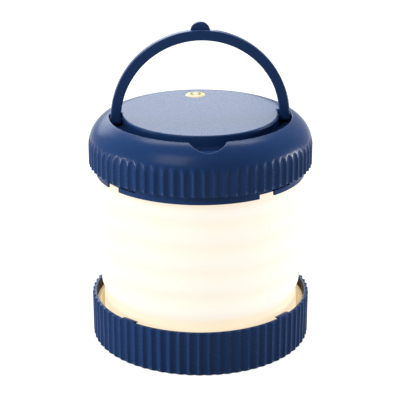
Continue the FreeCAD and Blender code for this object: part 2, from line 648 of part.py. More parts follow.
def handle():
    half = HANDLE_DEPTH / 2
    section = rounded_section(HANDLE_INNER_RADIUS, HANDLE_OUTER_RADIUS, half, HANDLE_EDGE)
    hoop = section.revolve(point(0, 0, PIVOT_HEIGHT), point(0, -1, 0), 180)
    for side in (-1, 1):
        start = HANDLE_INNER_RADIUS if side > 0 else -HANDLE_OUTER_RADIUS
        end = HANDLE_OUTER_RADIUS if side > 0 else -HANDLE_INNER_RADIUS
        hoop = hoop.fuse(along_x(half, start, end, 0, PIVOT_HEIGHT))
    tab_radius = ((TAB_WIDTH / 2) ** 2 + TAB_HEIGHT ** 2) / (2 * TAB_HEIGHT)
    tab_centre = PIVOT_HEIGHT + HANDLE_OUTER_RADIUS + TAB_HEIGHT - tab_radius
    tab_front = half - TAB_THICKNESS
    tab = Part.makeCylinder(tab_radius, TAB_THICKNESS, point(0, tab_front, tab_centre), point(0, 1, 0))
    tab_root = PIVOT_HEIGHT + HANDLE_OUTER_RADIUS - HANDLE_EDGE
    hoop = hoop.fuse(tab.common(block(2 * tab_radius, -half, half, tab_root, tab_centre + TAB_WIDTH)))
    for start, end in handle_pin_spans():
        hoop = hoop.cut(along_x(PIN_RADIUS + RUNNING_CLEARANCE, start, end, 0, PIVOT_HEIGHT))
    return hoop.removeSplitter()


def button():
    flange_top = CAP_CEILING - RUNNING_CLEARANCE
    dome_low = CAP_TOP
    ball = (BUTTON_RADIUS ** 2 + BUTTON_RISE ** 2) / (2 * BUTTON_RISE)
    crown = Part.makeSphere(ball, point(0, BUTTON_CENTRE_Y, dome_low + BUTTON_RISE - ball))
    crown_top = dome_low + BUTTON_RISE + CUT_MARGIN
    crown = crown.common(disc(BUTTON_RADIUS, dome_low, crown_top, 0, BUTTON_CENTRE_Y))
    body = disc(BUTTON_RADIUS, flange_top, dome_low, 0, BUTTON_CENTRE_Y).fuse(crown)
    body = body.fuse(disc(BUTTON_FLANGE_RADIUS, flange_top - BUTTON_FLANGE, flange_top, 0, BUTTON_CENTRE_Y))
    stem_low = BOARD_TOP + SWITCH_HEIGHT + PLUNGER_RISE
    body = body.fuse(disc(BUTTON_STEM_RADIUS, stem_low, flange_top - BUTTON_FLANGE, 0, BUTTON_CENTRE_Y))
    return body.removeSplitter()


def switch_plunger():
    top = BOARD_TOP + SWITCH_HEIGHT + PLUNGER_RISE
    low = BOARD_TOP + SWITCH_HEIGHT - PLUNGER_DEPTH
    return disc(PLUNGER_RADIUS, low, top, 0, BUTTON_CENTRE_Y)


def switch_housing():
    half = SWITCH_SIDE / 2
    top = BOARD_TOP + SWITCH_HEIGHT
    body = block(SWITCH_SIDE, BUTTON_CENTRE_Y - half, BUTTON_CENTRE_Y + half, BOARD_TOP, top)
    well_low = top - PLUNGER_DEPTH - BUTTON_TRAVEL - SEAT_CLEARANCE
    return body.cut(disc(PLUNGER_RADIUS + RUNNING_CLEARANCE, well_low, top, 0, BUTTON_CENTRE_Y))


def control_board():
    board = block(BOARD_WIDTH, BOARD_FRONT_Y, BOARD_BACK_Y, BOARD_LOW, BOARD_TOP)
    for x, y in board_post_places():
        board = board.cut(disc(SMALL_SCREW_RADIUS + SCREW_CLEARANCE, BOARD_LOW, BOARD_TOP, x, y))
    return board


def small_screws(places, seat):
    """Screws put in from above: the standing screw, turned over about its seat."""
    screws = []
    for x, y in places:
        one = screw(SMALL_SCREW_RADIUS, SMALL_HEAD_RADIUS, SMALL_HEAD_HEIGHT, 0, seat - LAMP_PLATE_LOW, x, y)
        one.rotate(point(x, y, 0), point(1, 0, 0), 180)
        one.translate(point(0, 0, seat))
        screws.append(one)
    return screws


def battery_pack():
    front = BATTERY_CENTRE_Y - BATTERY_WIDTH / 2
    back = BATTERY_CENTRE_Y + BATTERY_WIDTH / 2
    pack = block(BATTERY_LENGTH, front, back, LAMP_PLATE_TOP, LAMP_PLATE_TOP + BATTERY_HEIGHT)
    upright = [edge for edge in pack.Edges if edge.BoundBox.ZLength > BATTERY_HEIGHT / 2]
    return pack.makeFillet(BATTERY_EDGE, upright)


def battery_strap():
    front = BATTERY_CENTRE_Y - STRAP_WIDTH / 2
    back = BATTERY_CENTRE_Y + STRAP_WIDTH / 2
    battery_top = LAMP_PLATE_TOP + BATTERY_HEIGHT
    foot_top = LAMP_PLATE_TOP + STRAP_THICKNESS
    reach = BATTERY_LENGTH + 2 * STRAP_THICKNESS
    strap = block(reach, front, back, LAMP_PLATE_TOP, battery_top + STRAP_THICKNESS)
    strap = strap.cut(block(BATTERY_LENGTH, front, back, LAMP_PLATE_TOP, battery_top))
    feet = block(reach + 2 * STRAP_FOOT, front, back, LAMP_PLATE_TOP, foot_top)
    feet = feet.cut(block(BATTERY_LENGTH, front, back, LAMP_PLATE_TOP, foot_top))
    strap = strap.fuse(feet).removeSplitter()
    for x, y in strap_screw_places():
        strap = strap.cut(disc(SMALL_SCREW_RADIUS + SCREW_CLEARANCE, LAMP_PLATE_TOP, foot_top, x, y))
    return strap


def lead_socket():
    return block(
        LEAD_SOCKET_WIDTH, BOARD_FRONT_Y, BOARD_FRONT_Y + LEAD_SOCKET_DEPTH, BOARD_TOP,
        BOARD_TOP + LEAD_SOCKET_HEIGHT,
    )


def lead_sides():
    return (-LEAD_SPACING / 2, LEAD_SPACING / 2)


def battery_leads():
    start = BATTERY_CENTRE_Y + BATTERY_WIDTH / 2
    length = BOARD_FRONT_Y - start
    height = BOARD_TOP + LEAD_SOCKET_HEIGHT / 2
    back = point(0, 1, 0)
    return [Part.makeCylinder(LEAD_RADIUS, length, point(x, start, height), back) for x in lead_sides()]


def lamp_leads():
    return [disc(LEAD_RADIUS, LAMP_PLATE_LOW, BOARD_LOW, x, lamp_lead_y()) for x in lead_sides()]


def charge_socket():
    back = BOARD_BACK_Y + SOCKET_OVERHANG
    front = back - SOCKET_DEPTH
    shell = block(SOCKET_WIDTH, front, back, BOARD_TOP, BOARD_TOP + SOCKET_HEIGHT)
    corners = [edge for edge in shell.Edges if edge.BoundBox.YLength > SOCKET_DEPTH / 2]
    shell = shell.makeFillet(SOCKET_HEIGHT / 2 - SOCKET_SHELL, corners)
    hollow = block(
        SOCKET_WIDTH - 2 * SOCKET_SHELL, front + 2 * SOCKET_SHELL, back,
        BOARD_TOP + SOCKET_SHELL, BOARD_TOP + SOCKET_HEIGHT - SOCKET_SHELL,
    )
    corners = [edge for edge in hollow.Edges if edge.BoundBox.YLength > SOCKET_DEPTH / 2]
    hollow = hollow.makeFillet(SOCKET_HEIGHT / 2 - 2 * SOCKET_SHELL, corners)
    middle = BOARD_TOP + SOCKET_HEIGHT / 2
    tongue = block(
        SOCKET_WIDTH - 4 * SOCKET_TONGUE, front, back - SOCKET_TONGUE,
        middle - SOCKET_TONGUE / 2, middle + SOCKET_TONGUE / 2,
    )
    return shell.cut(hollow).fuse(tongue).removeSplitter()


def port_flap():
    outer_y = FLAP_INNER_Y + FLAP_THICKNESS
    plate = block(FLAP_WIDTH, FLAP_INNER_Y, outer_y + CUT_MARGIN, FLAP_AXIS_Z, FLAP_TOP_Z)
    plate = plate.common(disc(outer_y, FLAP_AXIS_Z, FLAP_TOP_Z))
    half = FLAP_WIDTH / 2
    plate = plate.fuse(along_x(FLAP_BARREL_RADIUS, -half, half, FLAP_AXIS_Y, FLAP_AXIS_Z))
    plug = block(
        SOCKET_WIDTH, FLAP_INNER_Y - FLAP_PLUG_DEPTH, FLAP_INNER_Y, BOARD_TOP, BOARD_TOP + SOCKET_HEIGHT,
    )
    flap = plate.fuse(plug).removeSplitter()
    return flap.cut(along_x(FLAP_PIN_RADIUS + RUNNING_CLEARANCE, -half, half, FLAP_AXIS_Y, FLAP_AXIS_Z))


def flap_pin():
    half = flap_pin_half_length()
    return along_x(FLAP_PIN_RADIUS, -half, half, FLAP_AXIS_Y, FLAP_AXIS_Z)


PIECES = {
    "base_shell": base_shell,
    "base_inner_ring": base_inner_ring,
    "reflector_plate": reflector_plate,
    "base_screws": base_screws,
    "foot_ring": foot_ring,
    "bellows": bellows,
    "bellows_swivel_ring": bellows_swivel_ring,
    "skirt_ring": skirt_ring,
    "swivel_retainer": swivel_retainer,
    "cap_screws": cap_screws,
    "lamp_plate": lamp_plate,
    "seal_ring": seal_ring,
    "led_board": led_board,
    "leds": leds,
    "lens": lens,
    "cap_shell": cap_shell,
    "handle_pins": handle_pins,
    "handle": handle,
    "button": button,
    "switch_plunger": switch_plunger,
    "switch_housing": switch_housing,
    "control_board": control_board,
    "board_screws": lambda: small_screws(board_post_places(), BOARD_TOP),
    "battery_pack": battery_pack,
    "battery_strap": battery_strap,
    "strap_screws": lambda: small_screws(strap_screw_places(), LAMP_PLATE_TOP + STRAP_THICKNESS),
    "lead_socket": lead_socket,
    "battery_leads": battery_leads,
    "lamp_leads": lamp_leads,
    "charge_socket": charge_socket,
    "port_flap": port_flap,
    "flap_pin": flap_pin,
}


def main():
    os.makedirs("parts", exist_ok=True)
    for name, make in PIECES.items():
        made = make()
        shape = Part.makeCompound(made) if isinstance(made, list) else made
        wanted = len(made) if isinstance(made, list) else 1
        if len(shape.Solids) != wanted or not shape.isValid():
            raise ValueError(f"{name}: {len(shape.Solids)} solids, {wanted} wanted, valid {shape.isValid()}")
        if wanted == 1:
            shape = shape.Solids[0]
        shape.exportStep(os.path.join("parts", name + ".step"))
        print(f"{name}: {wanted} solid, {shape.Volume / 1000:.2f} cm3")
    print(f"collapse travel {COLLAPSE_TRAVEL:.2f} mm, cap top {CAP_TOP:.2f} mm, pivot {PIVOT_HEIGHT:.2f} mm")
    print(f"bellows from {FLOOR_TOP:.2f} to {BELLOWS_TOP:.2f} mm")
    print(f"flap axis at y {FLAP_AXIS_Y:.2f} z {FLAP_AXIS_Z:.2f} mm")


main()
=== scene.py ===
"""Finished surfaces of a collapsible camping lantern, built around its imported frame, in metres."""

import math

import bmesh
import bpy
import numpy as np
from bpy.props import FloatProperty, FloatVectorProperty, IntProperty, PointerProperty
from mathutils import Matrix, Vector


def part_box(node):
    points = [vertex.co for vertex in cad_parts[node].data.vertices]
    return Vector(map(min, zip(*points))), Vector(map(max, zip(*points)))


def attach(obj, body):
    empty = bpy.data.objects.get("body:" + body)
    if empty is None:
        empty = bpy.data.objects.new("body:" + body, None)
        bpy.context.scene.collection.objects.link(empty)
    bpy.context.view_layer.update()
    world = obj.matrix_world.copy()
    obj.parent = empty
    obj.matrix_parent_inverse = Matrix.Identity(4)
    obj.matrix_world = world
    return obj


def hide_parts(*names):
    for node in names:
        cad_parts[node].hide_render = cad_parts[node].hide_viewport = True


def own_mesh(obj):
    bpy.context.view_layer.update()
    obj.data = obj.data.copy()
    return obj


bl_info = {
    "name": "Collapsible camping lantern",
    "version": (1, 0, 0),
    "blender": (4, 5, 0),
    "location": "View3D > Sidebar > Lantern",
    "description": "Builds the finished surfaces of a collapsible lantern around its frame",
    "category": "Add Mesh",
}

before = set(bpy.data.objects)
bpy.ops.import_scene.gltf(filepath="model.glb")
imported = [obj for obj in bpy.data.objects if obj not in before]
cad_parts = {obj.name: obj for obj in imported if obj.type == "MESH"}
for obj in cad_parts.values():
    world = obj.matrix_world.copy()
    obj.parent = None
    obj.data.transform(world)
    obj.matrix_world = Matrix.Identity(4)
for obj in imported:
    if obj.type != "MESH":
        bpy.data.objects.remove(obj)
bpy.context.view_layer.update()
MM = 0.001
CAP_LOW, CAP_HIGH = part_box("cap_shell")
SHADE_LOW, SHADE_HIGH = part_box("bellows")
SKIRT_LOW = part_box("skirt_ring")[0]
BUTTON_LOW, BUTTON_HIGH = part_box("button")
FLAP_LOW, FLAP_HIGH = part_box("port_flap")
FOOT_LOW, FOOT_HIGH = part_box("foot_ring")
SOCKET_LOW, SOCKET_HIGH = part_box("charge_socket")
BODY_RADIUS = CAP_HIGH.x
TOP = CAP_HIGH.z
BUTTON_Y = (BUTTON_LOW.y + BUTTON_HIGH.y) / 2
SHARP = math.radians(33)
ROUND_STEPS = np.radians([0.0, 30.0, 60.0, 90.0])
ROUND_AZIMUTHS = np.linspace(-math.pi, math.pi, 96, endpoint=False)
MERGE = 0.002 * MM


def linear(hex_colour):
    """Linear red, green and blue of an sRGB hex colour."""
    channels = [int(hex_colour[place:place + 2], 16) / 255 for place in (1, 3, 5)]
    return tuple(c / 12.92 if c <= 0.04045 else ((c + 0.055) / 1.055) ** 2.4 for c in channels)


def length(name, description, millimetres):
    """A length property, given in millimetres."""
    return FloatProperty(
        name=name, description=description, default=millimetres * MM, unit="LENGTH", precision=5)


def angle(name, description, degrees):
    """An angle property, given in degrees."""
    return FloatProperty(
        name=name, description=description, default=math.radians(degrees), subtype="ANGLE")


def power(name, description, watts):
    """A lamp's power property."""
    return FloatProperty(name=name, description=description, default=watts, min=0, unit="POWER")


def colour(name, description, hex_colour):
    """A colour property, given as sRGB hex."""
    return FloatVectorProperty(
        name=name, description=description, default=linear(hex_colour), subtype="COLOR", min=0, max=1)


class LanternBody(bpy.types.PropertyGroup):
    """Sizes of the fluted cap and base."""

    flute_count: IntProperty(name="Flutes", description="Scallops round the cap and the base", default=72)
    flute_depth: length("Flute depth", "Depth of a scallop below the ridges", 1.2)
    flute_land: length("Ridge width", "Flat left between two scallops", 0.5)
    dome_radius: length("Shoulder radius", "Rounding between the cap's side and its flat top", 17.0)
    groove_inner: length("Groove inner radius", "Inner wall of the handle's groove", 41.55)
    groove_outer: length("Groove outer radius", "Outer wall of the handle's groove", 48.45)
    groove_depth: length("Groove depth", "Floor of the groove below the flat top", 6.7)
    groove_back: length("Groove back", "How far the groove's ends reach behind the pivots", 2.9)
    groove_wall: length("Groove wall", "Thickness of the plastic round the groove", 2.0)
    notch_radius: length("Notch radius", "Radius of the finger notch in plan", 9.65)
    notch_centre: length("Notch centre", "Distance of the notch's middle from the lantern's axis", 44.6)
    edge_rounding: length("Edge rounding", "Rounding along the groove and the notch", 0.8)
    rim_rounding: length("Rim rounding", "Rounding along the cap's and the base's rims", 0.3)
    base_height: length("Base height", "Height of the base's rim", 25.0)
    base_inside: length("Base inner radius", "Inside of the base's wall", 57.6)
    base_recess: length("Base recess", "Radius of the recess in the underside", 50.0)
    foot_width: length("Foot width", "Width of the seat for the rubber foot", 3.5)
    cap_wall: length("Cap wall", "Thickness of the cap behind the scallops", 2.2)
    cap_top_wall: length("Cap top", "Thickness of the cap's flat top", 2.4)
    lug_count: IntProperty(name="Lugs", description="Bayonet lugs on the base's rim", default=4)
    lug_inner: length("Lug inner radius", "Radius to which the lugs reach in", 55.7)
    lug_outer: length("Lug outer radius", "Radius at which the lugs start on the rim", 58.7)
    lug_thickness: length("Lug thickness", "Height of a lug", 1.1)
    lug_tip: length("Lug tip", "Height of a lug's inner tip", 0.45)
    lug_rise: length("Lug rise", "Top of the lugs above the rim", 0.75)
    lug_span: angle("Lug span", "Width of a lug about the axis", 8.4)
    lug_rounding: length("Lug rounding", "Rounding along a lug's edges", 0.12)


class LanternShade(bpy.types.PropertyGroup):
    """Sizes of the bellows."""

    crest_radius: length("Crest radius", "Largest radius of the folds", 54.6)
    valley_radius: length("Valley radius", "Smallest outer radius of the folds", 52.2)
    wall: length("Wall", "Thickness of the silicone", 1.1)
    pitch: length("Fold pitch", "Height of one fold", 13.8)
    folds: IntProperty(name="Folds", description="Number of folds", default=5)
    top_valley: length("Top valley", "Height of the uppermost valley", 96.0)
    flange_radius: length("Flange radius", "Inner radius of the clamped flanges", 47.3)
    sag: length("Sag", "How unevenly the soft wall hangs", 0.5)


class LanternButton(bpy.types.PropertyGroup):
    """Sizes of the power button."""

    radius: length("Radius", "Radius of the button's top", 5.8)
    hole: length("Hole", "Radius of the button's hole in the cap", 5.95)
    rise: length("Rise", "Crown above the flat top", 0.75)
    flange_radius: length("Flange radius", "Radius of the flange that holds the button in", 7.2)
    flange: length("Flange", "Thickness of the flange", 1.0)
    stem: length("Stem", "Radius of the stem that works the switch", 2.4)
    mark_radius: length("Mark radius", "Radius of the two printed arcs", 2.5)
    mark_width: length("Mark width", "Stroke of the printed arcs", 1.1)
    mark_start: angle("Mark start", "Where each arc starts beside the back", 18.0)
    mark_end: angle("Mark end", "Where each arc ends", 150.0)


class LanternColours(bpy.types.PropertyGroup):
    """Colours of the finishes."""

    navy: colour("Navy", "Moulded ABS of cap, base and handle", "#1A3560")
    silicone: colour("Silicone", "Bellows, unlit", "#77736A")
    # Painted glow: the bellows give out this light themselves, in place of the lamp inside. The warm glow
    # paints shade in the folds and collars.
    glow: colour("Glow", "Light through the bellows", "#F9F2E8")
    warm_glow: colour("Warm glow", "Light through the bellows' thick collars", "#FBE7C8")
    # Painted shade and reflection: a dark brown for the base's inner wall, standing in for its shadow and the
    # bellows' warm glow in it.
    inside: colour("Inside", "Wall inside the base", "#2A211A")
    cream: colour("Cream", "Button", "#D6C79C")
    olive: colour("Olive", "Marks on the button", "#6E6636")
    ivory: colour("Ivory", "Ring inside the base", "#D9C6A0")
    white: colour("White", "Plates and rings beside the lamp", "#F0EEE8")
    rubber: colour("Rubber", "Foot ring and gasket", "#1C1D20")
    flap: colour("Flap", "Charging port's flap", "#1E3564")
    steel: colour("Steel", "Screws, pins and socket", "#B9BBBE")
    laminate: colour("Laminate", "Control board", "#1D5B34")
    phosphor: colour("Phosphor", "Faces of the light chips", "#E9C64A")
    black: colour("Black", "Switch", "#202124")
    film: colour("Film", "Shrink film round the cells", "#2B6E9E")
    leads: colour("Leads", "Insulation of the wires", "#A92A22")


class LanternStage(bpy.types.PropertyGroup):
    """Camera and light."""

    distance: length("Distance", "From the camera to the point it looks at", 717.85)
    target_height: length("Target height", "Height of the point the camera looks at", 70.0)
    elevation: angle("Elevation", "Camera above the horizon", 21.015)
    turn: angle("Turn", "Camera to the left of the front", 4.5)
    focal: FloatProperty(name="Focal length", description="On a sensor 36 mm wide", default=118.14)
    shift_x: FloatProperty(name="Shift X", description="Sideways shift of the picture", default=-0.0011)
    shift_y: FloatProperty(name="Shift Y", description="Upward shift of the picture", default=0.0283)
    key_power: power("Key", "Wide panel overhead, towards the back", 16.0)
    back_power: power("Back", "Broad panel behind, which gives the flat top its sheen", 14.0)
    left_power: power("Left", "Low panel on the left", 8.5)
    front_power: power("Front", "Soft lamp in front, on the left, for the shoulder", 9.0)
    right_power: power("Right", "Low panel on the right", 12.0)
    floor_grey: FloatProperty(name="Floor grey", description="What the floor sends back", default=0.5, min=0)
    floor_glow: FloatProperty(name="Floor glow", description="How white the floor looks", default=0.9, min=0)
    ambient: FloatProperty(name="Ambient", description="Even light from all round", default=0.07, min=0)


class LanternSettings(bpy.types.PropertyGroup):
    """Everything that a user would change."""

    body: PointerProperty(type=LanternBody)
    shade: PointerProperty(type=LanternShade)
    button: PointerProperty(type=LanternButton)
    colours: PointerProperty(type=LanternColours)
    stage: PointerProperty(type=LanternStage)


# Finishes

SHADE_SWING = 0.06
GLOSS_SWING = 0.05
DRIFT_SIZE = 30 * MM
GRAIN_STRENGTH = 0.25
GLOW_STRENGTH = 0.92
SKIN_SIZE = 0.6 * MM
YARN = 0.4 * MM


def add(tree, kind, inputs=None, **settings):
    """Adds a node, with its settings, its constant inputs and its links."""
    made = tree.nodes.new(kind)
    for name, value in settings.items():
        setattr(made, name, value)
    for name, value in (inputs or {}).items():
        if isinstance(value, bpy.types.NodeSocket):
            tree.links.new(value, made.inputs[name])
        else:
            made.inputs[name].default_value = value
    return made


def opaque(rgb, factor=1.0):
    """A colour socket's value, made lighter or darker by a factor."""
    return (*[min(1.0, channel * factor) for channel in rgb], 1.0)


def new_material(name):
    """An empty node material with its output."""
    material = bpy.data.materials.new(name)
    material.use_nodes = True
    tree = material.node_tree
    tree.nodes.clear()
    return material, tree, tree.nodes.new("ShaderNodeOutputMaterial")


def moulded(name, rgb, roughness, grain, depth, specular=0.5):
    """Moulded plastic or rubber: a fine spark-eroded grain, and a colour that drifts a little with the flow.

    The grain is a real size in metres, drawn coarser than the real 0.1 mm so that it shows.
    """
    material, tree, output = new_material(name)
    place = add(tree, "ShaderNodeTexCoord").outputs["Object"]
    grit = add(tree, "ShaderNodeTexNoise", {"Vector": place, "Scale": 1 / grain, "Detail": 3.0})
    drift = add(tree, "ShaderNodeTexNoise", {"Vector": place, "Scale": 1 / DRIFT_SIZE, "Detail": 2.0})
    tint = add(tree, "ShaderNodeMix", {
        0: drift.outputs["Fac"], 6: opaque(rgb, 1 - SHADE_SWING), 7: opaque(rgb, 1 + SHADE_SWING)},
        data_type="RGBA")
    sheen = add(tree, "ShaderNodeMapRange", {
        "Value": grit.outputs["Fac"], "To Min": roughness - GLOSS_SWING, "To Max": roughness + GLOSS_SWING})
    bump = add(tree, "ShaderNodeBump", {
        "Height": grit.outputs["Fac"], "Strength": GRAIN_STRENGTH, "Distance": depth})
    shader = add(tree, "ShaderNodeBsdfPrincipled", {
        "Base Color": tint.outputs[2], "Roughness": sheen.outputs["Result"], "IOR": 1.5,
        "Specular IOR Level": specular, "Normal": bump.outputs["Normal"]})
    tree.links.new(shader.outputs["BSDF"], output.inputs["Surface"])
    return material


def lit_silicone(colours):
    """Translucent silicone with a painted glow for the light from inside: pale where thin, painted warmer in
    the folds and at the collars.
    """
    material, tree, output = new_material("lit_silicone")
    place = add(tree, "ShaderNodeTexCoord").outputs["Object"]
    warmth = add(tree, "ShaderNodeAttribute", attribute_name="warmth")
    glow = add(tree, "ShaderNodeMix", {
        0: warmth.outputs["Fac"], 6: opaque(colours.glow), 7: opaque(colours.warm_glow)}, data_type="RGBA")
    skin = add(tree, "ShaderNodeTexNoise", {"Vector": place, "Scale": 1 / SKIN_SIZE, "Detail": 2.0})
    bump = add(tree, "ShaderNodeBump", {
        "Height": skin.outputs["Fac"], "Strength": 0.15, "Distance": 0.02 * MM})
    rough = add(tree, "ShaderNodeMapRange", {"Value": skin.outputs["Fac"], "To Min": 0.5, "To Max": 0.6})
    shader = add(tree, "ShaderNodeBsdfPrincipled", {
        "Base Color": opaque(colours.silicone), "Roughness": rough.outputs["Result"], "IOR": 1.41,
        "Specular IOR Level": 0.2, "Emission Color": glow.outputs[2], "Emission Strength": GLOW_STRENGTH,
        "Normal": bump.outputs["Normal"]})
    tree.links.new(shader.outputs["BSDF"], output.inputs["Surface"])
    return material


def plated_steel(colours):
    """Zinc-plated steel: bright, with fine streaks left by turning and stamping."""
    material, tree, output = new_material("plated_steel")
    place = add(tree, "ShaderNodeTexCoord").outputs["Object"]
    streak = add(tree, "ShaderNodeMapping", {"Vector": place, "Scale": (400.0, 400.0, 4000.0)})
    noise = add(tree, "ShaderNodeTexNoise", {"Vector": streak.outputs["Vector"], "Scale": 1.0, "Detail": 3.0})
    rough = add(tree, "ShaderNodeMapRange", {"Value": noise.outputs["Fac"], "To Min": 0.22, "To Max": 0.42})
    tint = add(tree, "ShaderNodeMix", {
        0: noise.outputs["Fac"], 6: opaque(colours.steel, 0.9), 7: opaque(colours.steel, 1.1)},
        data_type="RGBA")
    shader = add(tree, "ShaderNodeBsdfPrincipled", {
        "Base Color": tint.outputs[2], "Metallic": 1.0, "Roughness": rough.outputs["Result"]})
    tree.links.new(shader.outputs["BSDF"], output.inputs["Surface"])
    return material


def black_steel(colours):
    """Blackened steel: an oiled oxide skin, dark and blotchy."""
    material, tree, output = new_material("black_steel")
    place = add(tree, "ShaderNodeTexCoord").outputs["Object"]
    blotch = add(tree, "ShaderNodeTexNoise", {"Vector": place, "Scale": 1 / (1.5 * MM), "Detail": 3.0})
    tint = add(tree, "ShaderNodeMix", {
        0: blotch.outputs["Fac"], 6: opaque(colours.black, 0.7), 7: opaque(colours.black, 1.5)},
        data_type="RGBA")
    rough = add(tree, "ShaderNodeMapRange", {"Value": blotch.outputs["Fac"], "To Min": 0.35, "To Max": 0.55})
    shader = add(tree, "ShaderNodeBsdfPrincipled", {
        "Base Color": tint.outputs[2], "Metallic": 1.0, "Roughness": rough.outputs["Result"]})
    tree.links.new(shader.outputs["BSDF"], output.inputs["Surface"])
    return material


def glass_laminate(colours):
    """Glass-cloth circuit board: green lacquer over a fine weave of 0.4 mm yarns."""
    material, tree, output = new_material("glass_laminate")
    place = add(tree, "ShaderNodeTexCoord").outputs["Object"]
    weave = add(tree, "ShaderNodeTexChecker", {
        "Vector": place, "Scale": 1 / YARN, "Color1": opaque(colours.laminate, 0.85),
        "Color2": opaque(colours.laminate, 1.15)})
    bump = add(tree, "ShaderNodeBump", {
        "Height": weave.outputs["Fac"], "Strength": 0.2, "Distance": 0.02 * MM})
    shader = add(tree, "ShaderNodeBsdfPrincipled", {
        "Base Color": weave.outputs["Color"], "Roughness": 0.35, "IOR": 1.55,
        "Normal": bump.outputs["Normal"]})
    tree.links.new(shader.outputs["BSDF"], output.inputs["Surface"])
    return material


# Each moulded finish has a colour, a roughness, a grain, the grain's depth and, where set, its shine.
FINISHES = {
    # Moulded ABS: satin, with a soft sheen where the light grazes it. The tray's inner wall is duller, in
    # painted shade.
    "navy_abs": lambda c: moulded("navy_abs", c.navy, 0.27, 0.5 * MM, 0.01 * MM, 0.08),
    "inner_shade_abs": lambda c: moulded("inner_shade_abs", c.inside, 0.5, 0.5 * MM, 0.01 * MM, 0.05),
    "cream_abs": lambda c: moulded("cream_abs", c.cream, 0.35, 0.6 * MM, 0.01 * MM, 0.15),
    "ivory_abs": lambda c: moulded("ivory_abs", c.ivory, 0.42, 0.5 * MM, 0.02 * MM, 0.2),
    "white_abs": lambda c: moulded("white_abs", c.white, 0.4, 0.5 * MM, 0.02 * MM),
    # Pad-printed ink: flat, with no shine.
    "olive_ink": lambda c: moulded("olive_ink", c.olive, 0.6, 0.3 * MM, 0.01 * MM, 0.03),
    # Frosted acrylic: matt and milky.
    "frosted_acrylic": lambda c: moulded("frosted_acrylic", c.silicone, 0.55, 0.3 * MM, 0.03 * MM),
    # Lacquer on the lamp's board: white and rather glossy.
    "solder_mask": lambda c: moulded("solder_mask", c.white, 0.32, 0.4 * MM, 0.01 * MM),
    # Moulded rubber: matt, with a coarser skin.
    "foot_rubber": lambda c: moulded("foot_rubber", c.rubber, 0.75, 0.8 * MM, 0.05 * MM),
    "flap_rubber": lambda c: moulded("flap_rubber", c.flap, 0.6, 0.6 * MM, 0.03 * MM, 0.2),
    # Phosphor in clear resin: yellow and grainy.
    "chip_phosphor": lambda c: moulded("chip_phosphor", c.phosphor, 0.5, 0.2 * MM, 0.02 * MM),
    # Moulded nylon: waxy.
    "black_nylon": lambda c: moulded("black_nylon", c.black, 0.45, 0.4 * MM, 0.02 * MM),
    "natural_nylon": lambda c: moulded("natural_nylon", c.cream, 0.45, 0.4 * MM, 0.02 * MM),
    # Shrink film: shiny and rippled.
    "shrink_film": lambda c: moulded("shrink_film", c.film, 0.22, 3.0 * MM, 0.1 * MM),
    # Extruded PVC: smooth, with a dull shine.
    "wire_pvc": lambda c: moulded("wire_pvc", c.leads, 0.38, 0.5 * MM, 0.01 * MM),
    "lit_silicone": lit_silicone,
    "plated_steel": plated_steel,
    "black_steel": black_steel,
    "glass_laminate": glass_laminate,
}


def finish(name):
    """The material of that name, made when it is first asked for."""
    return bpy.data.materials.get(name) or FINISHES[name](bpy.context.scene.lantern.colours)


def dress(finish_name, *nodes):
    """Gives frame nodes whose shape is right their finish."""
    for node in nodes:
        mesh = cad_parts[node].data
        mesh.materials.clear()
        mesh.materials.append(finish(finish_name))


# Meshes


def link(name, mesh):
    """A new object in the scene."""
    made = bpy.data.objects.new(name, mesh)
    bpy.context.scene.collection.objects.link(made)
    return made


def add_piece(name, mesh, body, replaced=()):
    """Links a finished mesh as a piece that rides on a body."""
    piece = link(name, mesh)
    if replaced:
        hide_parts(*replaced)
    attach(piece, body)
    return piece


def smooth(mesh, sharp=SHARP):
    """Smooth shading up to an angle."""
    mesh.shade_smooth()
    mesh.set_sharp_from_angle(angle=sharp)
    return mesh


def finished_mesh(name, work, finish_name):
    """The mesh of a working shape, with its finish."""
    mesh = bpy.data.meshes.new(name)
    work.to_mesh(mesh)
    work.free()
    mesh.materials.append(finish(finish_name))
    return mesh


def round_edges(work, radius):
    """Rounds every edge of a working shape."""
    bmesh.ops.bevel(work, geom=work.edges, offset=radius, segments=3, profile=0.5, affect="EDGES")


def clean_mesh(name, points, faces, finish_name):
    """A mesh from points and faces, with doubles merged and faces outwards."""
    work = bmesh.new()
    made = [work.verts.new(point) for point in points]
    for face in faces:
        work.faces.new([made[index] for index in face])
    bmesh.ops.remove_doubles(work, verts=work.verts, dist=MERGE)
    bmesh.ops.dissolve_degenerate(work, edges=work.edges, dist=MERGE)
    bmesh.ops.recalc_face_normals(work, faces=work.faces)
    return smooth(finished_mesh(name, work, finish_name))


def turned_faces(rows, columns):
    """Quads of a turned lattice, with a flat face on its first and its last row."""
    faces = []
    for row in range(rows - 1):
        for column in range(columns):
            following = (column + 1) % columns
            faces.append((row * columns + column, row * columns + following,
                          (row + 1) * columns + following, (row + 1) * columns + column))
    faces.append(tuple(range(columns)))
    faces.append(tuple(range((rows - 1) * columns, rows * columns)))
    return faces


def turned_mesh(name, rows, azimuth, finish_name, centre_y=0.0):
    """A closed mesh of rows, each a radius and a height at every azimuth from the front."""
    radius = np.array([row[0] + 0 * azimuth for row in rows])
    height = np.array([row[1] + 0 * azimuth for row in rows])
    points = np.stack([radius * np.sin(azimuth), centre_y - radius * np.cos(azimuth), height], axis=-1)
    return clean_mesh(name, points.reshape(-1, 3), turned_faces(len(rows), len(azimuth)), finish_name)


def block_mesh(name, low, high, bevel, finish_name):
    """A block between two corners, with its edges rounded."""
    work = bmesh.new()
    bmesh.ops.create_cube(work, size=1.0)
    size = Vector(high) - Vector(low)
    middle = (Vector(low) + Vector(high)) / 2
    bmesh.ops.transform(work, matrix=Matrix.LocRotScale(middle, None, size), verts=work.verts)
    round_edges(work, bevel)
    return finished_mesh(name, work, finish_name)


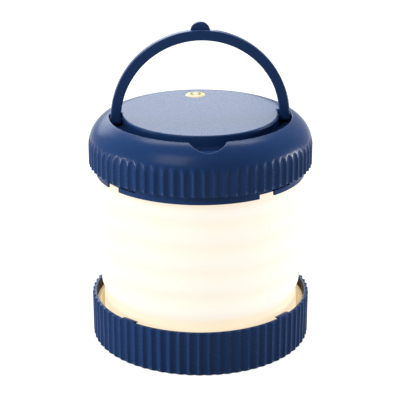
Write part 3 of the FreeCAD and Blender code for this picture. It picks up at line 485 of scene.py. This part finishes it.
def bake(carrier):
    """The plain mesh that an object's modifiers give, with the object removed."""
    graph = bpy.context.evaluated_depsgraph_get()
    mesh = bpy.data.meshes.new_from_object(
        carrier.evaluated_get(graph), preserve_all_data_layers=True, depsgraph=graph)
    bpy.data.objects.remove(carrier)
    return mesh


def combine(name, mesh, operation, others):
    """A mesh joined with others, or cut by them."""
    carrier = link(name, mesh)
    helpers = [link("helper", other) for other in others]
    for helper in helpers:
        modifier = carrier.modifiers.new("combine", "BOOLEAN")
        modifier.operation = operation
        modifier.solver = "EXACT"
        modifier.object = helper
    made = bake(carrier)
    for helper in helpers:
        bpy.data.objects.remove(helper)
    return smooth(made)


def new_tree(name, inputs):
    """A geometry tree with named inputs, its input sockets and its output node."""
    tree = bpy.data.node_groups.new(name, "GeometryNodeTree")
    for label, kind in [("Geometry", "Geometry"), *inputs]:
        tree.interface.new_socket(label, in_out="INPUT", socket_type="NodeSocket" + kind)
    tree.interface.new_socket("Geometry", in_out="OUTPUT", socket_type="NodeSocketGeometry")
    return tree, tree.nodes.new("NodeGroupInput").outputs, tree.nodes.new("NodeGroupOutput")


def run_tree(carrier, tree, settings):
    """Puts a geometry tree on an object, with its inputs set by name."""
    modifier = carrier.modifiers.new("build", "NODES")
    modifier.node_group = tree
    for item in tree.interface.items_tree:
        if item.in_out == "INPUT" and item.name in settings:
            modifier[item.identifier] = settings[item.name]


def copies_tree():
    """Spreads copies of a piece evenly about the lantern's axis."""
    tree, given, output = new_tree("copies_about_axis", [("Count", "Int"), ("Finish", "Material")])
    single = add(tree, "GeometryNodeGeometryToInstance", {"Geometry": given["Geometry"]})
    copies = add(tree, "GeometryNodeDuplicateElements", {
        "Geometry": single.outputs["Instances"], "Amount": given["Count"]}, domain="INSTANCE")
    step = add(tree, "ShaderNodeMath", {0: 2 * math.pi, 1: given["Count"]}, operation="DIVIDE")
    turn = add(tree, "ShaderNodeMath", {
        0: copies.outputs["Duplicate Index"], 1: step.outputs[0]}, operation="MULTIPLY")
    rotation = add(tree, "FunctionNodeAxisAngleToRotation", {"Axis": (0, 0, 1), "Angle": turn.outputs[0]})
    turned = add(tree, "GeometryNodeRotateInstances", {
        "Instances": copies.outputs["Geometry"], "Rotation": rotation.outputs["Rotation"],
        "Local Space": False})
    real = add(tree, "GeometryNodeRealizeInstances", {"Geometry": turned.outputs["Instances"]})
    finished = add(tree, "GeometryNodeSetMaterial", {
        "Geometry": real.outputs["Geometry"], "Material": given["Finish"]})
    tree.links.new(finished.outputs["Geometry"], output.inputs["Geometry"])
    return tree


def bellows_tree():
    """A tube with an inward flange at each end, whose radius swings between its folds' valleys and crests.

    It also stores how warm the painted glow at each point is: more in the valleys and near both collars,
    where it paints in shade.
    """
    sizes = ("Crest", "Valley", "Pitch", "Top valley", "Low", "High", "Flange", "Sag", "Warm low",
             "Warm high")
    kinds = [(size, "Float") for size in sizes]
    tree, given, output = new_tree("bellows_wall", [*kinds, ("Folds", "Int"), ("Finish", "Material")])

    def calculate(operation, *values):
        return add(tree, "ShaderNodeMath", dict(enumerate(values)), operation=operation).outputs[0]

    around, along = 193, 181
    grid = add(tree, "GeometryNodeMeshGrid", {
        "Size X": 1.0, "Size Y": 1.0, "Vertices X": around, "Vertices Y": along})
    place = add(tree, "ShaderNodeSeparateXYZ", {"Vector": add(tree, "GeometryNodeInputPosition").outputs[0]})
    turn = calculate("MULTIPLY", place.outputs["X"], 2 * math.pi)
    sine, cosine = calculate("SINE", turn), calculate("COSINE", turn)

    # The first and the last row of the grid are the flanges' inner edges.
    span = calculate("MULTIPLY", place.outputs["Y"], (along - 1) / (along - 3))
    on_wall = calculate("LESS_THAN", calculate("ABSOLUTE", span), 0.5 + 0.1 / along)
    share = calculate("MINIMUM", calculate("MAXIMUM", calculate("ADD", span, 0.5), 0.0), 1.0)
    rise = calculate("SUBTRACT", given["High"], given["Low"])
    height = calculate("MULTIPLY_ADD", share, rise, given["Low"])

    # The folds start and end halfway between a valley and a crest.
    quarter = calculate("DIVIDE", given["Pitch"], 4.0)
    fold_high = calculate("ADD", given["Top valley"], quarter)
    folded = calculate("MULTIPLY", given["Pitch"], given["Folds"])
    fold_low = calculate("SUBTRACT", calculate("SUBTRACT", given["Top valley"], folded), quarter)
    held = calculate("MINIMUM", calculate("MAXIMUM", height, fold_low), fold_high)
    turns = calculate("DIVIDE", calculate("SUBTRACT", held, fold_low), given["Pitch"])
    swing = calculate("SINE", calculate("MULTIPLY", turns, 2 * math.pi))
    middle = calculate("MULTIPLY", calculate("ADD", given["Crest"], given["Valley"]), 0.5)
    reach = calculate("MULTIPLY", calculate("SUBTRACT", given["Crest"], given["Valley"]), 0.5)
    waved = calculate("SUBTRACT", middle, calculate("MULTIPLY", reach, swing))

    # Soft unevenness, largest halfway up and none at the clamped ends.
    dent_size = 22 * MM
    level = calculate("MULTIPLY", height, 1 / dent_size)
    ring = add(tree, "ShaderNodeCombineXYZ", {"X": cosine, "Y": sine, "Z": level})
    uneven = add(tree, "ShaderNodeTexNoise", {"Vector": ring.outputs[0], "Scale": 1.0, "Detail": 1.0})
    free = calculate("SINE", calculate("MULTIPLY", share, math.pi))
    dent = calculate("MULTIPLY", calculate("SUBTRACT", uneven.outputs["Fac"], 0.7), given["Sag"])
    soft = calculate("ADD", waved, calculate("MULTIPLY", dent, free))
    radius = add(tree, "ShaderNodeMix", {0: on_wall, 2: given["Flange"], 3: soft}).outputs[0]
    moved = add(tree, "ShaderNodeCombineXYZ", {
        "X": calculate("MULTIPLY", radius, cosine), "Y": calculate("MULTIPLY", radius, sine), "Z": height})

    # The warmth is stored while the points still lie on the flat grid, from which it is worked out.
    fade = 9 * MM
    low_peak = 0.9
    high_peak = 0.6
    fold_swing = 0.14
    cloud_swing = 0.15
    # Painted shade: the glow is made warmer in the valleys and towards both collars, with soft clouds.
    low_warmth = add(tree, "ShaderNodeMapRange", {
        "Value": height, "From Min": given["Warm low"], "From Max": calculate("ADD", given["Warm low"], fade),
        "To Min": low_peak, "To Max": 0.0}, interpolation_type="SMOOTHSTEP")
    high_warmth = add(tree, "ShaderNodeMapRange", {
        "Value": height, "From Min": calculate("SUBTRACT", given["Warm high"], fade),
        "From Max": given["Warm high"], "To Min": 0.0, "To Max": high_peak},
        interpolation_type="SMOOTHSTEP")
    folds_warmth = calculate("MULTIPLY_ADD", swing, fold_swing, fold_swing)
    clouds = calculate("MULTIPLY_ADD", uneven.outputs["Fac"], 2 * cloud_swing, -cloud_swing)
    ends_warmth = calculate("ADD", low_warmth.outputs["Result"], high_warmth.outputs["Result"])
    warmth = calculate("ADD", calculate("ADD", ends_warmth, folds_warmth), clouds)
    stored = add(tree, "GeometryNodeStoreNamedAttribute", {
        "Geometry": grid.outputs["Mesh"], "Name": "warmth",
        "Value": calculate("MINIMUM", calculate("MAXIMUM", warmth, 0.0), 1.0)})
    placed = add(tree, "GeometryNodeSetPosition", {
        "Geometry": stored.outputs["Geometry"], "Position": moved.outputs[0]})
    merged = add(tree, "GeometryNodeMergeByDistance", {
        "Geometry": placed.outputs["Geometry"], "Distance": 0.005 * MM})
    real = add(tree, "GeometryNodeRealizeInstances", {"Geometry": merged.outputs["Geometry"]})
    finished = add(tree, "GeometryNodeSetMaterial", {
        "Geometry": real.outputs["Geometry"], "Material": given["Finish"]})
    tree.links.new(finished.outputs["Geometry"], output.inputs["Geometry"])
    return tree


# Shapes of the pieces


def flute_radius(azimuth, body, phase):
    """Radius of the scalloped side. Phase 0 puts a valley at the front, 0.5 a ridge."""
    pitch = 2 * math.pi / body.flute_count
    half = (pitch - body.flute_land / BODY_RADIUS) / 2
    offset = (azimuth / pitch - phase + 0.5) % 1 - 0.5
    share = np.clip(np.abs(offset) * pitch / half, 0, 1)
    return BODY_RADIUS - body.flute_depth * (1 - share ** 2)


def flute_azimuths(body, phase):
    """Azimuths that follow the scallops: points across each one, and the middle of each ridge."""
    pitch = 2 * math.pi / body.flute_count
    half = (pitch - body.flute_land / BODY_RADIUS) / 2
    across = np.append(np.linspace(-half, half, 9), pitch / 2)
    whole = (np.arange(body.flute_count)[:, None] + phase) * pitch + across[None, :]
    return np.sort((whole.ravel() + math.pi) % (2 * math.pi) - math.pi)


def groove_end(body):
    """Azimuth of the groove's ends, a little behind the pivots."""
    return math.pi / 2 + math.asin(2 * body.groove_back / (body.groove_inner + body.groove_outer))


def notch_reach(azimuth, body):
    """Outer edge of the groove, which swells into the finger notch at the front."""
    side = body.notch_radius ** 2 - (body.notch_centre * np.sin(azimuth)) ** 2
    far = body.notch_centre * np.cos(azimuth) + np.sqrt(np.clip(side, 0, None))
    in_notch = (side > 0) & (np.cos(azimuth) > 0)
    return np.where(in_notch, np.maximum(far, body.groove_outer), body.groove_outer)


def groove_gap(radius, azimuth, body):
    """Plan distance from the groove and its notch, nought inside them."""
    past = np.clip(np.abs(azimuth) - groove_end(body), 0, None)
    forward = radius * np.cos(past)
    groove = np.hypot(forward - np.clip(forward, body.groove_inner, body.groove_outer), radius * np.sin(past))
    across = np.hypot(radius * np.sin(azimuth), body.notch_centre - radius * np.cos(azimuth))
    notch = np.clip(across - body.notch_radius, 0, None)
    return np.where(radius > body.groove_inner, np.minimum(groove, notch), groove)


def rounding(distance, radius):
    """Drop of a surface beside an edge with a round of that radius."""
    inside = np.clip(radius - distance, 0, radius)
    return radius - np.sqrt(radius ** 2 - inside ** 2)


def soft_min(first, second, blend):
    """Smaller of two values, with a rounded change from one to the other."""
    near = np.clip(blend - np.abs(first - second), 0, None)
    return np.minimum(first, second) - near ** 2 / (4 * blend)


def cap_columns(body):
    """Azimuths of the cap's lattice, and which of them lie in the groove.

    Extra columns stand at the notch's corners and beside the groove's ends. At each end one column in the
    groove and one on the top share a place, and the wall stands between them.
    """
    middle = (body.groove_inner + body.groove_outer) / 2
    end = groove_end(body)
    corner = math.acos((body.groove_outer ** 2 + body.notch_centre ** 2 - body.notch_radius ** 2)
                       / (2 * body.groove_outer * body.notch_centre))
    beside = np.array([0.04, 0.12, 0.26, 0.5, 0.8]) * MM / middle
    azimuths = flute_azimuths(body, 0.0)
    end_room = 0.9 * MM / middle
    corner_room = 0.15 * MM / middle
    clear = np.abs(np.abs(azimuths) - end) > end_room
    clear &= np.abs(np.abs(azimuths) - corner) > corner_room
    columns = [(azimuth, abs(azimuth) < end) for azimuth in azimuths[clear]]
    hair = 1e-7
    for side in (-1, 1):
        columns.append((side * corner, True))
        columns.append((side * (end - beside[-1]), True))
        columns.append((side * (end - hair), True))
        columns.append((side * (end + hair), False))
        columns.extend((side * (end + step), False) for step in beside)
    columns.sort()
    places, insides = zip(*columns)
    return np.array(places), np.array(insides)


def cap_mesh(body):
    """The cap: flat top, handle groove with its notch, domed shoulder, fluted side and hollow inside."""
    azimuth, in_groove = cap_columns(body)
    floor = TOP - body.groove_depth
    fillet = body.edge_rounding
    dome_flat = BODY_RADIUS - body.dome_radius
    dome_low = TOP - body.dome_radius
    reach = np.where(in_groove, notch_reach(azimuth, body), body.groove_outer)
    inner = body.groove_inner + 0 * azimuth
    near = np.array([0.0, 0.02, 0.07, 0.16, 0.3, 0.5, 0.8, 1.2]) * MM
    turn_out = fillet * (1 - np.cos(ROUND_STEPS))
    turn_up = fillet * (1 - np.sin(ROUND_STEPS))

    # Across the flat top and the groove: a radius, and the height of a row that lies in the groove.
    flat_radii = (30 * MM, 36 * MM, 39 * MM)
    rows = [(radius + 0 * azimuth, None) for radius in flat_radii]
    rows += [(inner - step, None) for step in near[::-1]]
    rows += [(inner + out, floor + up) for out, up in zip(turn_out, turn_up)]
    rows += [(inner + (reach - inner) * share, floor) for share in (0.3, 0.5, 0.7)]
    rows += [(reach - out, floor + up) for out, up in zip(turn_out[::-1], turn_up[::-1])]
    rows += [(reach + step, None) for step in near]
    lattice = []
    for radius, level in rows:
        over = np.clip((radius - dome_flat) / body.dome_radius, 0, 1)
        surface = dome_low + body.dome_radius * np.sqrt(1 - over ** 2)
        surface = surface - rounding(groove_gap(radius, azimuth, body), fillet)
        lattice.append((radius, surface if level is None else np.where(in_groove, level, surface)))

    # Down the shoulder, where the scallops run out in arches, and the fluted side.
    flutes = flute_radius(azimuth, body, 0.0)
    start = np.arcsin(np.clip((rows[-1][0] - dome_flat) / body.dome_radius, 0, 1))
    arch = math.radians(66)
    blend = 0.12 * MM
    steps = [start + (arch - start) * share for share in np.linspace(0, 1, 15)[1:]]
    steps += list(np.linspace(arch, math.pi / 2, 19)[1:])
    for step in steps:
        radius = dome_flat + body.dome_radius * np.sin(step)
        lattice.append((soft_min(radius, flutes, blend), dome_low + body.dome_radius * np.cos(step)))
    rim = body.rim_rounding
    rim_top = CAP_LOW.z + rim
    lattice += [(flutes, dome_low + (rim_top - dome_low) * share) for share in (0.35, 0.7, 1.0)]
    for step in ROUND_STEPS[1:]:
        lattice.append((flutes - rim * (1 - math.cos(step)), rim_top - rim * math.sin(step)))

    # The hollow for the electronics, lower under the groove.
    inside = body.dome_radius - body.cap_wall
    wall = BODY_RADIUS - body.flute_depth - body.cap_wall
    under_groove = floor - body.groove_wall
    ceiling = TOP - body.cap_top_wall
    lattice.append((wall, CAP_LOW.z))
    for step in np.radians([90.0, 60.0, 35.0]):
        level = dome_low + inside * math.cos(step)
        lowered = np.where(in_groove, min(level, under_groove), level)
        lattice.append((wall - inside * (1 - math.sin(step)), lowered))
    core = body.groove_inner - body.groove_wall
    lattice.append((core, np.where(in_groove, under_groove, ceiling)))
    lattice.append((core, ceiling))
    return turned_mesh("cap", lattice, azimuth, "navy_abs")


def base_mesh(body):
    """The base tray: recessed underside with a seat for the foot, fluted side, rounded rim, plain floor."""
    azimuth = flute_azimuths(body, 0.5)
    flutes = flute_radius(azimuth, body, 0.5)
    foot_stand = 0.5 * MM
    recess_depth = 2.0 * MM
    chamfer = 0.7 * MM
    chamfer_middle = 0.35 * MM
    edge_in = 0.2 * MM
    edge_up = 0.1 * MM
    floor_chamfer = 0.5 * MM
    low = FOOT_LOW.z + foot_stand
    high = body.base_height
    rim = body.rim_rounding
    recess_top = low + recess_depth
    foot_outer = FOOT_HIGH.x
    foot_inner = foot_outer - body.foot_width
    edge = np.minimum(flutes, BODY_RADIUS - chamfer)
    rows = [(body.base_recess, recess_top), (body.base_recess, low + rim), (body.base_recess + rim, low)]
    rows += [(foot_inner, low), (foot_inner, FOOT_HIGH.z), (foot_outer, FOOT_HIGH.z), (foot_outer, low)]
    rows += [(edge - edge_in, low), (edge, low + edge_up)]
    for step in (chamfer_middle, chamfer):
        rows.append((np.minimum(flutes, BODY_RADIUS - chamfer + step), low + step))
    rows += [(flutes, low + (high - rim - low) * share) for share in (0.06, 0.35, 0.7, 1.0)]
    for step in ROUND_STEPS[1:]:
        rows.append((flutes - rim * (1 - math.cos(step)), high - rim * (1 - math.sin(step))))
    for step in ROUND_STEPS[::-1]:
        rows.append((body.base_inside + rim * (1 - math.cos(step)), high - rim * (1 - math.sin(step))))
    rows += [(body.base_inside, SHADE_LOW.z + floor_chamfer), (body.base_inside - floor_chamfer, SHADE_LOW.z)]
    return turned_mesh("base", rows, azimuth, "navy_abs")


def paint_inside_shade(mesh, body):
    """Gives the tray's inner wall painted shade, a dark brown that also paints in the bellows' warm
    reflection, up to where the rim starts to round over.
    """
    wall_room = 0.05 * MM
    steepest = 0.9
    mesh.materials.append(finish("inner_shade_abs"))
    for face in mesh.polygons:
        radius = math.hypot(face.center.x, face.center.y)
        inward = -(face.center.x * face.normal.x + face.center.y * face.normal.y)
        if radius < body.base_inside + wall_room and inward > steepest * radius:
            face.material_index = len(mesh.materials) - 1


def lug_mesh(body):
    """One bayonet lug on the base's rim, with a lead-in slope down to its tip and rounded edges."""
    half = body.lug_outer * math.tan(body.lug_span / 2)
    high = body.base_height + body.lug_rise
    low = high - body.lug_thickness
    section = [(body.lug_inner, low), (body.lug_outer, low), (body.lug_outer, high), (body.base_inside, high),
               (body.lug_inner, low + body.lug_tip)]
    work = bmesh.new()
    outline = [work.verts.new((radius, -half, level)) for radius, level in section]
    swept = bmesh.ops.extrude_face_region(work, geom=[work.faces.new(outline)])["geom"]
    moved = [item for item in swept if isinstance(item, bmesh.types.BMVert)]
    bmesh.ops.translate(work, verts=moved, vec=(0, 2 * half, 0))
    bmesh.ops.recalc_face_normals(work, faces=work.faces)
    round_edges(work, body.lug_rounding)
    mesh = finished_mesh("lug", work, "navy_abs")
    mesh.transform(Matrix.Rotation(math.pi / body.lug_count, 4, "Z"))
    return mesh


def button_mesh(button):
    """The button: a crowned top with a rounded edge, the flange that holds it in, and its stem."""
    ball = (button.radius ** 2 + button.rise ** 2) / (2 * button.rise)
    edge_round = 0.4 * MM
    edge_corner = 0.12 * MM
    edge_fall = 0.16 * MM
    flange_depth = 2.45 * MM
    edge = button.radius - edge_round
    flange_top = TOP - flange_depth
    rows = []
    for share in (0.02, 0.2, 0.4, 0.6, 0.8, 0.92, 1.0):
        rows.append((edge * share, BUTTON_HIGH.z - ball + math.sqrt(ball ** 2 - (edge * share) ** 2)))
    shoulder = rows[-1][1]
    rows += [(button.radius - edge_corner, shoulder - edge_fall), (button.radius, shoulder - edge_round)]
    rows += [(button.radius, flange_top), (button.flange_radius, flange_top)]
    rows += [(button.flange_radius, flange_top - button.flange), (button.stem, flange_top - button.flange)]
    rows += [(button.stem, BUTTON_LOW.z)]
    return turned_mesh("button", rows, ROUND_AZIMUTHS, "cream_abs", BUTTON_Y)


def mark_mesh(button, side):
    """One printed arc on the button, a thin raised band that follows the crown."""
    ball = (button.radius ** 2 + button.rise ** 2) / (2 * button.rise)
    half = button.mark_width / 2
    root = -0.3 * MM
    side_rise = 0.03 * MM
    top_rise = 0.06 * MM
    top_half = 0.8 * half
    section = [(-half, root), (half, root), (half, side_rise), (top_half, top_rise), (-top_half, top_rise),
               (-half, side_rise)]
    sweep = np.linspace(button.mark_start, button.mark_end, 25)
    points = []
    for turn in sweep:
        for across, rise in section:
            radius = button.mark_radius + across
            level = BUTTON_HIGH.z - ball + math.sqrt(ball ** 2 - radius ** 2) + rise
            points.append((side * radius * math.sin(turn), BUTTON_Y + radius * math.cos(turn), level))
    return clean_mesh("mark", points, turned_faces(len(sweep), len(section)), "olive_ink")


# Operators


class LANTERN_OT_base(bpy.types.Operator):
    """Fluted base tray with its bayonet lugs"""

    bl_idname = "lantern.base"
    bl_label = "Base tray"

    def execute(self, context):
        body = context.scene.lantern.body
        carrier = link("lugs", lug_mesh(body))
        run_tree(carrier, copies_tree(), {"Count": body.lug_count, "Finish": finish("navy_abs")})
        tray = combine("base_tray", base_mesh(body), "UNION", [bake(carrier)])
        # The tray's inner wall gets painted shade, with a painted warm reflection of the bellows.
        paint_inside_shade(tray, body)
        add_piece("base_tray", tray, "base", ["base_shell"])
        dress("ivory_abs", "base_inner_ring")
        dress("foot_rubber", "foot_ring")
        dress("white_abs", "reflector_plate")
        dress("plated_steel", "base_screws")
        return {"FINISHED"}


class LANTERN_OT_shade(bpy.types.Operator):
    """Soft silicone bellows that serves as the lamp shade"""

    bl_idname = "lantern.shade"
    bl_label = "Bellows"

    def execute(self, context):
        shade = context.scene.lantern.shade
        body = context.scene.lantern.body
        warm_overlap = 2 * MM
        carrier = link("bellows_wall", bpy.data.meshes.new("bellows_wall"))
        run_tree(carrier, bellows_tree(), {
            "Crest": shade.crest_radius, "Valley": shade.valley_radius, "Pitch": shade.pitch,
            "Top valley": shade.top_valley, "Low": SHADE_LOW.z, "High": SHADE_HIGH.z,
            "Flange": shade.flange_radius, "Sag": shade.sag, "Warm low": body.base_height - warm_overlap,
            "Warm high": SKIRT_LOW.z + warm_overlap, "Folds": shade.folds, "Finish": finish("lit_silicone")})
        thick = carrier.modifiers.new("wall", "SOLIDIFY")
        thick.thickness = shade.wall
        thick.offset = -1.0
        wall = smooth(bake(carrier), math.radians(50))
        piece = add_piece("bellows_wall", wall, "shade", ["bellows"])
        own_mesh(piece)
        dress("white_abs", "bellows_swivel_ring")
        return {"FINISHED"}


class LANTERN_OT_cap(bpy.types.Operator):
    """Fluted cap with its groove, notch, button hole and charging port, and the skirt below it"""

    bl_idname = "lantern.cap"
    bl_label = "Cap"

    def execute(self, context):
        settings = context.scene.lantern
        clearance = 0.3 * MM
        play = 0.7 * MM
        past = 5 * MM
        flap_thickness = 1.7 * MM
        tunnel_depth = 6 * MM
        tunnel_past = 1 * MM
        corner = 0.25 * MM
        hole_rows = [(settings.button.hole, TOP + past), (settings.button.hole, TOP - past)]
        hole = turned_mesh("hole", hole_rows, ROUND_AZIMUTHS, "navy_abs", BUTTON_Y)
        back = BODY_RADIUS + past
        recess_y = FLAP_HIGH.y - flap_thickness - clearance / 2
        recess = block_mesh(
            "recess", (FLAP_LOW.x - clearance, recess_y, FLAP_LOW.z - clearance),
            (FLAP_HIGH.x + clearance, back, FLAP_HIGH.z + clearance), corner, "navy_abs")
        tunnel = block_mesh(
            "tunnel", (SOCKET_LOW.x - play, SOCKET_HIGH.y - tunnel_depth, SOCKET_LOW.z - play),
            (SOCKET_HIGH.x + play, recess_y + tunnel_past, SOCKET_HIGH.z + 2 * play), corner, "navy_abs")
        cap = combine("cap", cap_mesh(settings.body), "DIFFERENCE", [hole, recess, tunnel])
        add_piece("cap", cap, "cap", ["cap_shell"])
        dress("navy_abs", "skirt_ring")
        dress("foot_rubber", "seal_ring")
        return {"FINISHED"}


class LANTERN_OT_handle(bpy.types.Operator):
    """Half-hoop handle on its two steel pins"""

    bl_idname = "lantern.handle"
    bl_label = "Handle"

    def execute(self, context):
        dress("navy_abs", "handle")
        dress("black_steel", "handle_pins")
        return {"FINISHED"}


class LANTERN_OT_button(bpy.types.Operator):
    """Round power button with two printed arcs"""

    bl_idname = "lantern.button"
    bl_label = "Button"

    def execute(self, context):
        button = context.scene.lantern.button
        add_piece("power_button", button_mesh(button), "button", ["button"])
        for name, side in (("button_mark_left", -1), ("button_mark_right", 1)):
            add_piece(name, mark_mesh(button, side), "button")
        return {"FINISHED"}


class LANTERN_OT_port(bpy.types.Operator):
    """Charging port with its hinged rubber flap"""

    bl_idname = "lantern.port"
    bl_label = "Charging port"

    def execute(self, context):
        dress("flap_rubber", "port_flap")
        dress("black_steel", "flap_pin")
        dress("plated_steel", "charge_socket")
        return {"FINISHED"}


class LANTERN_OT_works(bpy.types.Operator):
    """Lamp, battery and control board inside the cap"""

    bl_idname = "lantern.works"
    bl_label = "Lamp and electronics"

    def execute(self, context):
        dress("white_abs", "lamp_plate", "swivel_retainer")
        dress("solder_mask", "led_board")
        dress("chip_phosphor", "leds")
        dress("frosted_acrylic", "lens")
        dress("shrink_film", "battery_pack")
        dress("wire_pvc", "battery_leads", "lamp_leads")
        dress("glass_laminate", "control_board")
        dress("black_nylon", "switch_housing", "switch_plunger")
        dress("natural_nylon", "lead_socket")
        dress("plated_steel", "battery_strap", "strap_screws", "board_screws", "cap_screws")
        return {"FINISHED"}


# What the floor shows in full light: its own glow and what it reflects.
LIT_FLOOR = 1.15


def pale_ground(name, kind, level, strength):
    """A floor or sky that the camera, reflections and clear things see as white, other rays as a level."""
    if kind == "world":
        owner = bpy.data.worlds.new(name)
        owner.use_nodes = True
        tree = owner.node_tree
        tree.nodes.clear()
        output = tree.nodes.new("ShaderNodeOutputWorld")
        plain = add(tree, "ShaderNodeBackground", {"Strength": level})
        white = add(tree, "ShaderNodeBackground", {"Strength": strength}).outputs[0]
    else:
        owner, tree, output = new_material(name)
        plain = add(tree, "ShaderNodeBsdfDiffuse", {"Color": opaque((level,) * 3)})
        dim = add(tree, "ShaderNodeBsdfDiffuse", {"Color": opaque((LIT_FLOOR - strength,) * 3)})
        light = add(tree, "ShaderNodeEmission", {"Strength": strength})
        white = add(tree, "ShaderNodeAddShader", {0: dim.outputs[0], 1: light.outputs[0]}).outputs[0]
    path = add(tree, "ShaderNodeLightPath").outputs
    seen = add(tree, "ShaderNodeMath", {
        0: path["Is Camera Ray"], 1: path["Is Glossy Ray"]}, operation="MAXIMUM")
    shown = add(tree, "ShaderNodeMath", {
        0: seen.outputs[0], 1: path["Is Transmission Ray"]}, operation="MAXIMUM")
    mixed = add(tree, "ShaderNodeMixShader", {0: shown.outputs[0], 1: plain.outputs[0], 2: white})
    tree.links.new(mixed.outputs[0], output.inputs["Surface"])
    return owner


def floor_mesh(half, level):
    """A flat square floor, a hair under the lantern's foot."""
    mesh = bpy.data.meshes.new("floor")
    corners = [(-half, -half, level), (half, -half, level), (half, half, level), (-half, half, level)]
    mesh.from_pydata(corners, [], [(0, 1, 2, 3)])
    return mesh


def add_lamp(name, place, target, size, watts, tint="#FFFFFF"):
    """A soft rectangular lamp that faces a point."""
    lamp = bpy.data.lights.new(name, "AREA")
    lamp.shape = "RECTANGLE"
    lamp.size, lamp.size_y = size
    lamp.energy = watts
    lamp.color = linear(tint)
    made = link(name, lamp)
    made.location = place
    made.rotation_euler = (target - place).to_track_quat("-Z", "Y").to_euler()


class LANTERN_OT_stage(bpy.types.Operator):
    """Pale floor, soft light and camera"""

    bl_idname = "lantern.stage"
    bl_label = "Stage"

    def execute(self, context):
        stage = context.scene.lantern.stage
        context.scene.view_settings.view_transform = "Standard"
        context.scene.world = pale_ground("soft_sky", "world", stage.ambient, 1.0)
        half_floor = 4.0
        floor_gap = 0.1 * MM
        floor = link("floor", floor_mesh(half_floor, -floor_gap))
        floor.data.materials.append(pale_ground("pale_floor", "material", stage.floor_grey, stage.floor_glow))
        target = Vector((0, 0, stage.target_height))
        add_lamp("key", Vector((0.05, 0.5, 1.2)), target, (1.1, 0.3), stage.key_power)
        add_lamp("back", Vector((-0.4, 1.5, 0.72)), target, (1.5, 0.65), stage.back_power, "#EAF3FF")
        add_lamp("left", Vector((-1.1, -0.1, 0.15)), target, (0.3, 0.25), stage.left_power)
        add_lamp("front", Vector((-0.55, -0.7, 0.95)), target, (0.6, 0.6), stage.front_power)
        add_lamp("right", Vector((1.1, 0.1, 0.11)), target, (0.5, 0.2), stage.right_power)
        camera = bpy.data.cameras.new("camera")
        camera.lens = stage.focal
        camera.sensor_width = 36.0
        camera.shift_x, camera.shift_y = stage.shift_x, stage.shift_y
        viewer = link("camera", camera)
        away = Vector((-math.sin(stage.turn) * math.cos(stage.elevation),
                       -math.cos(stage.turn) * math.cos(stage.elevation), math.sin(stage.elevation)))
        viewer.location = target + away * stage.distance
        viewer.rotation_euler = (-away).to_track_quat("-Z", "Y").to_euler()
        context.scene.camera = viewer
        return {"FINISHED"}


OPERATORS = (
    LANTERN_OT_base, LANTERN_OT_shade, LANTERN_OT_cap, LANTERN_OT_handle, LANTERN_OT_button, LANTERN_OT_port,
    LANTERN_OT_works, LANTERN_OT_stage,
)


class LANTERN_PT_parts(bpy.types.Panel):
    """Lists the lantern's pieces and sizes"""

    bl_idname = "LANTERN_PT_parts"
    bl_label = "Camping lantern"
    bl_space_type = "VIEW_3D"
    bl_region_type = "UI"
    bl_category = "Lantern"

    def draw(self, context):
        for operator in OPERATORS:
            self.layout.operator(operator.bl_idname)
        settings = context.scene.lantern
        for group in (settings.body, settings.shade, settings.button, settings.colours, settings.stage):
            box = self.layout.box()
            for name in group.__annotations__:
                box.prop(group, name)


GROUPS = (LanternBody, LanternShade, LanternButton, LanternColours, LanternStage, LanternSettings)
CLASSES = (*GROUPS, *OPERATORS, LANTERN_PT_parts)


def register():
    """Makes the settings, operators and panel known to Blender."""
    for item in CLASSES:
        bpy.utils.register_class(item)
    bpy.types.Scene.lantern = PointerProperty(type=LanternSettings)


def unregister():
    """Takes them away again."""
    del bpy.types.Scene.lantern
    for item in reversed(CLASSES):
        bpy.utils.unregister_class(item)


def main():
    """Builds every piece and the stage."""
    register()
    for operator in OPERATORS:
        family, name = operator.bl_idname.split(".")
        getattr(getattr(bpy.ops, family), name)()


if __name__ == "__main__":
    main()
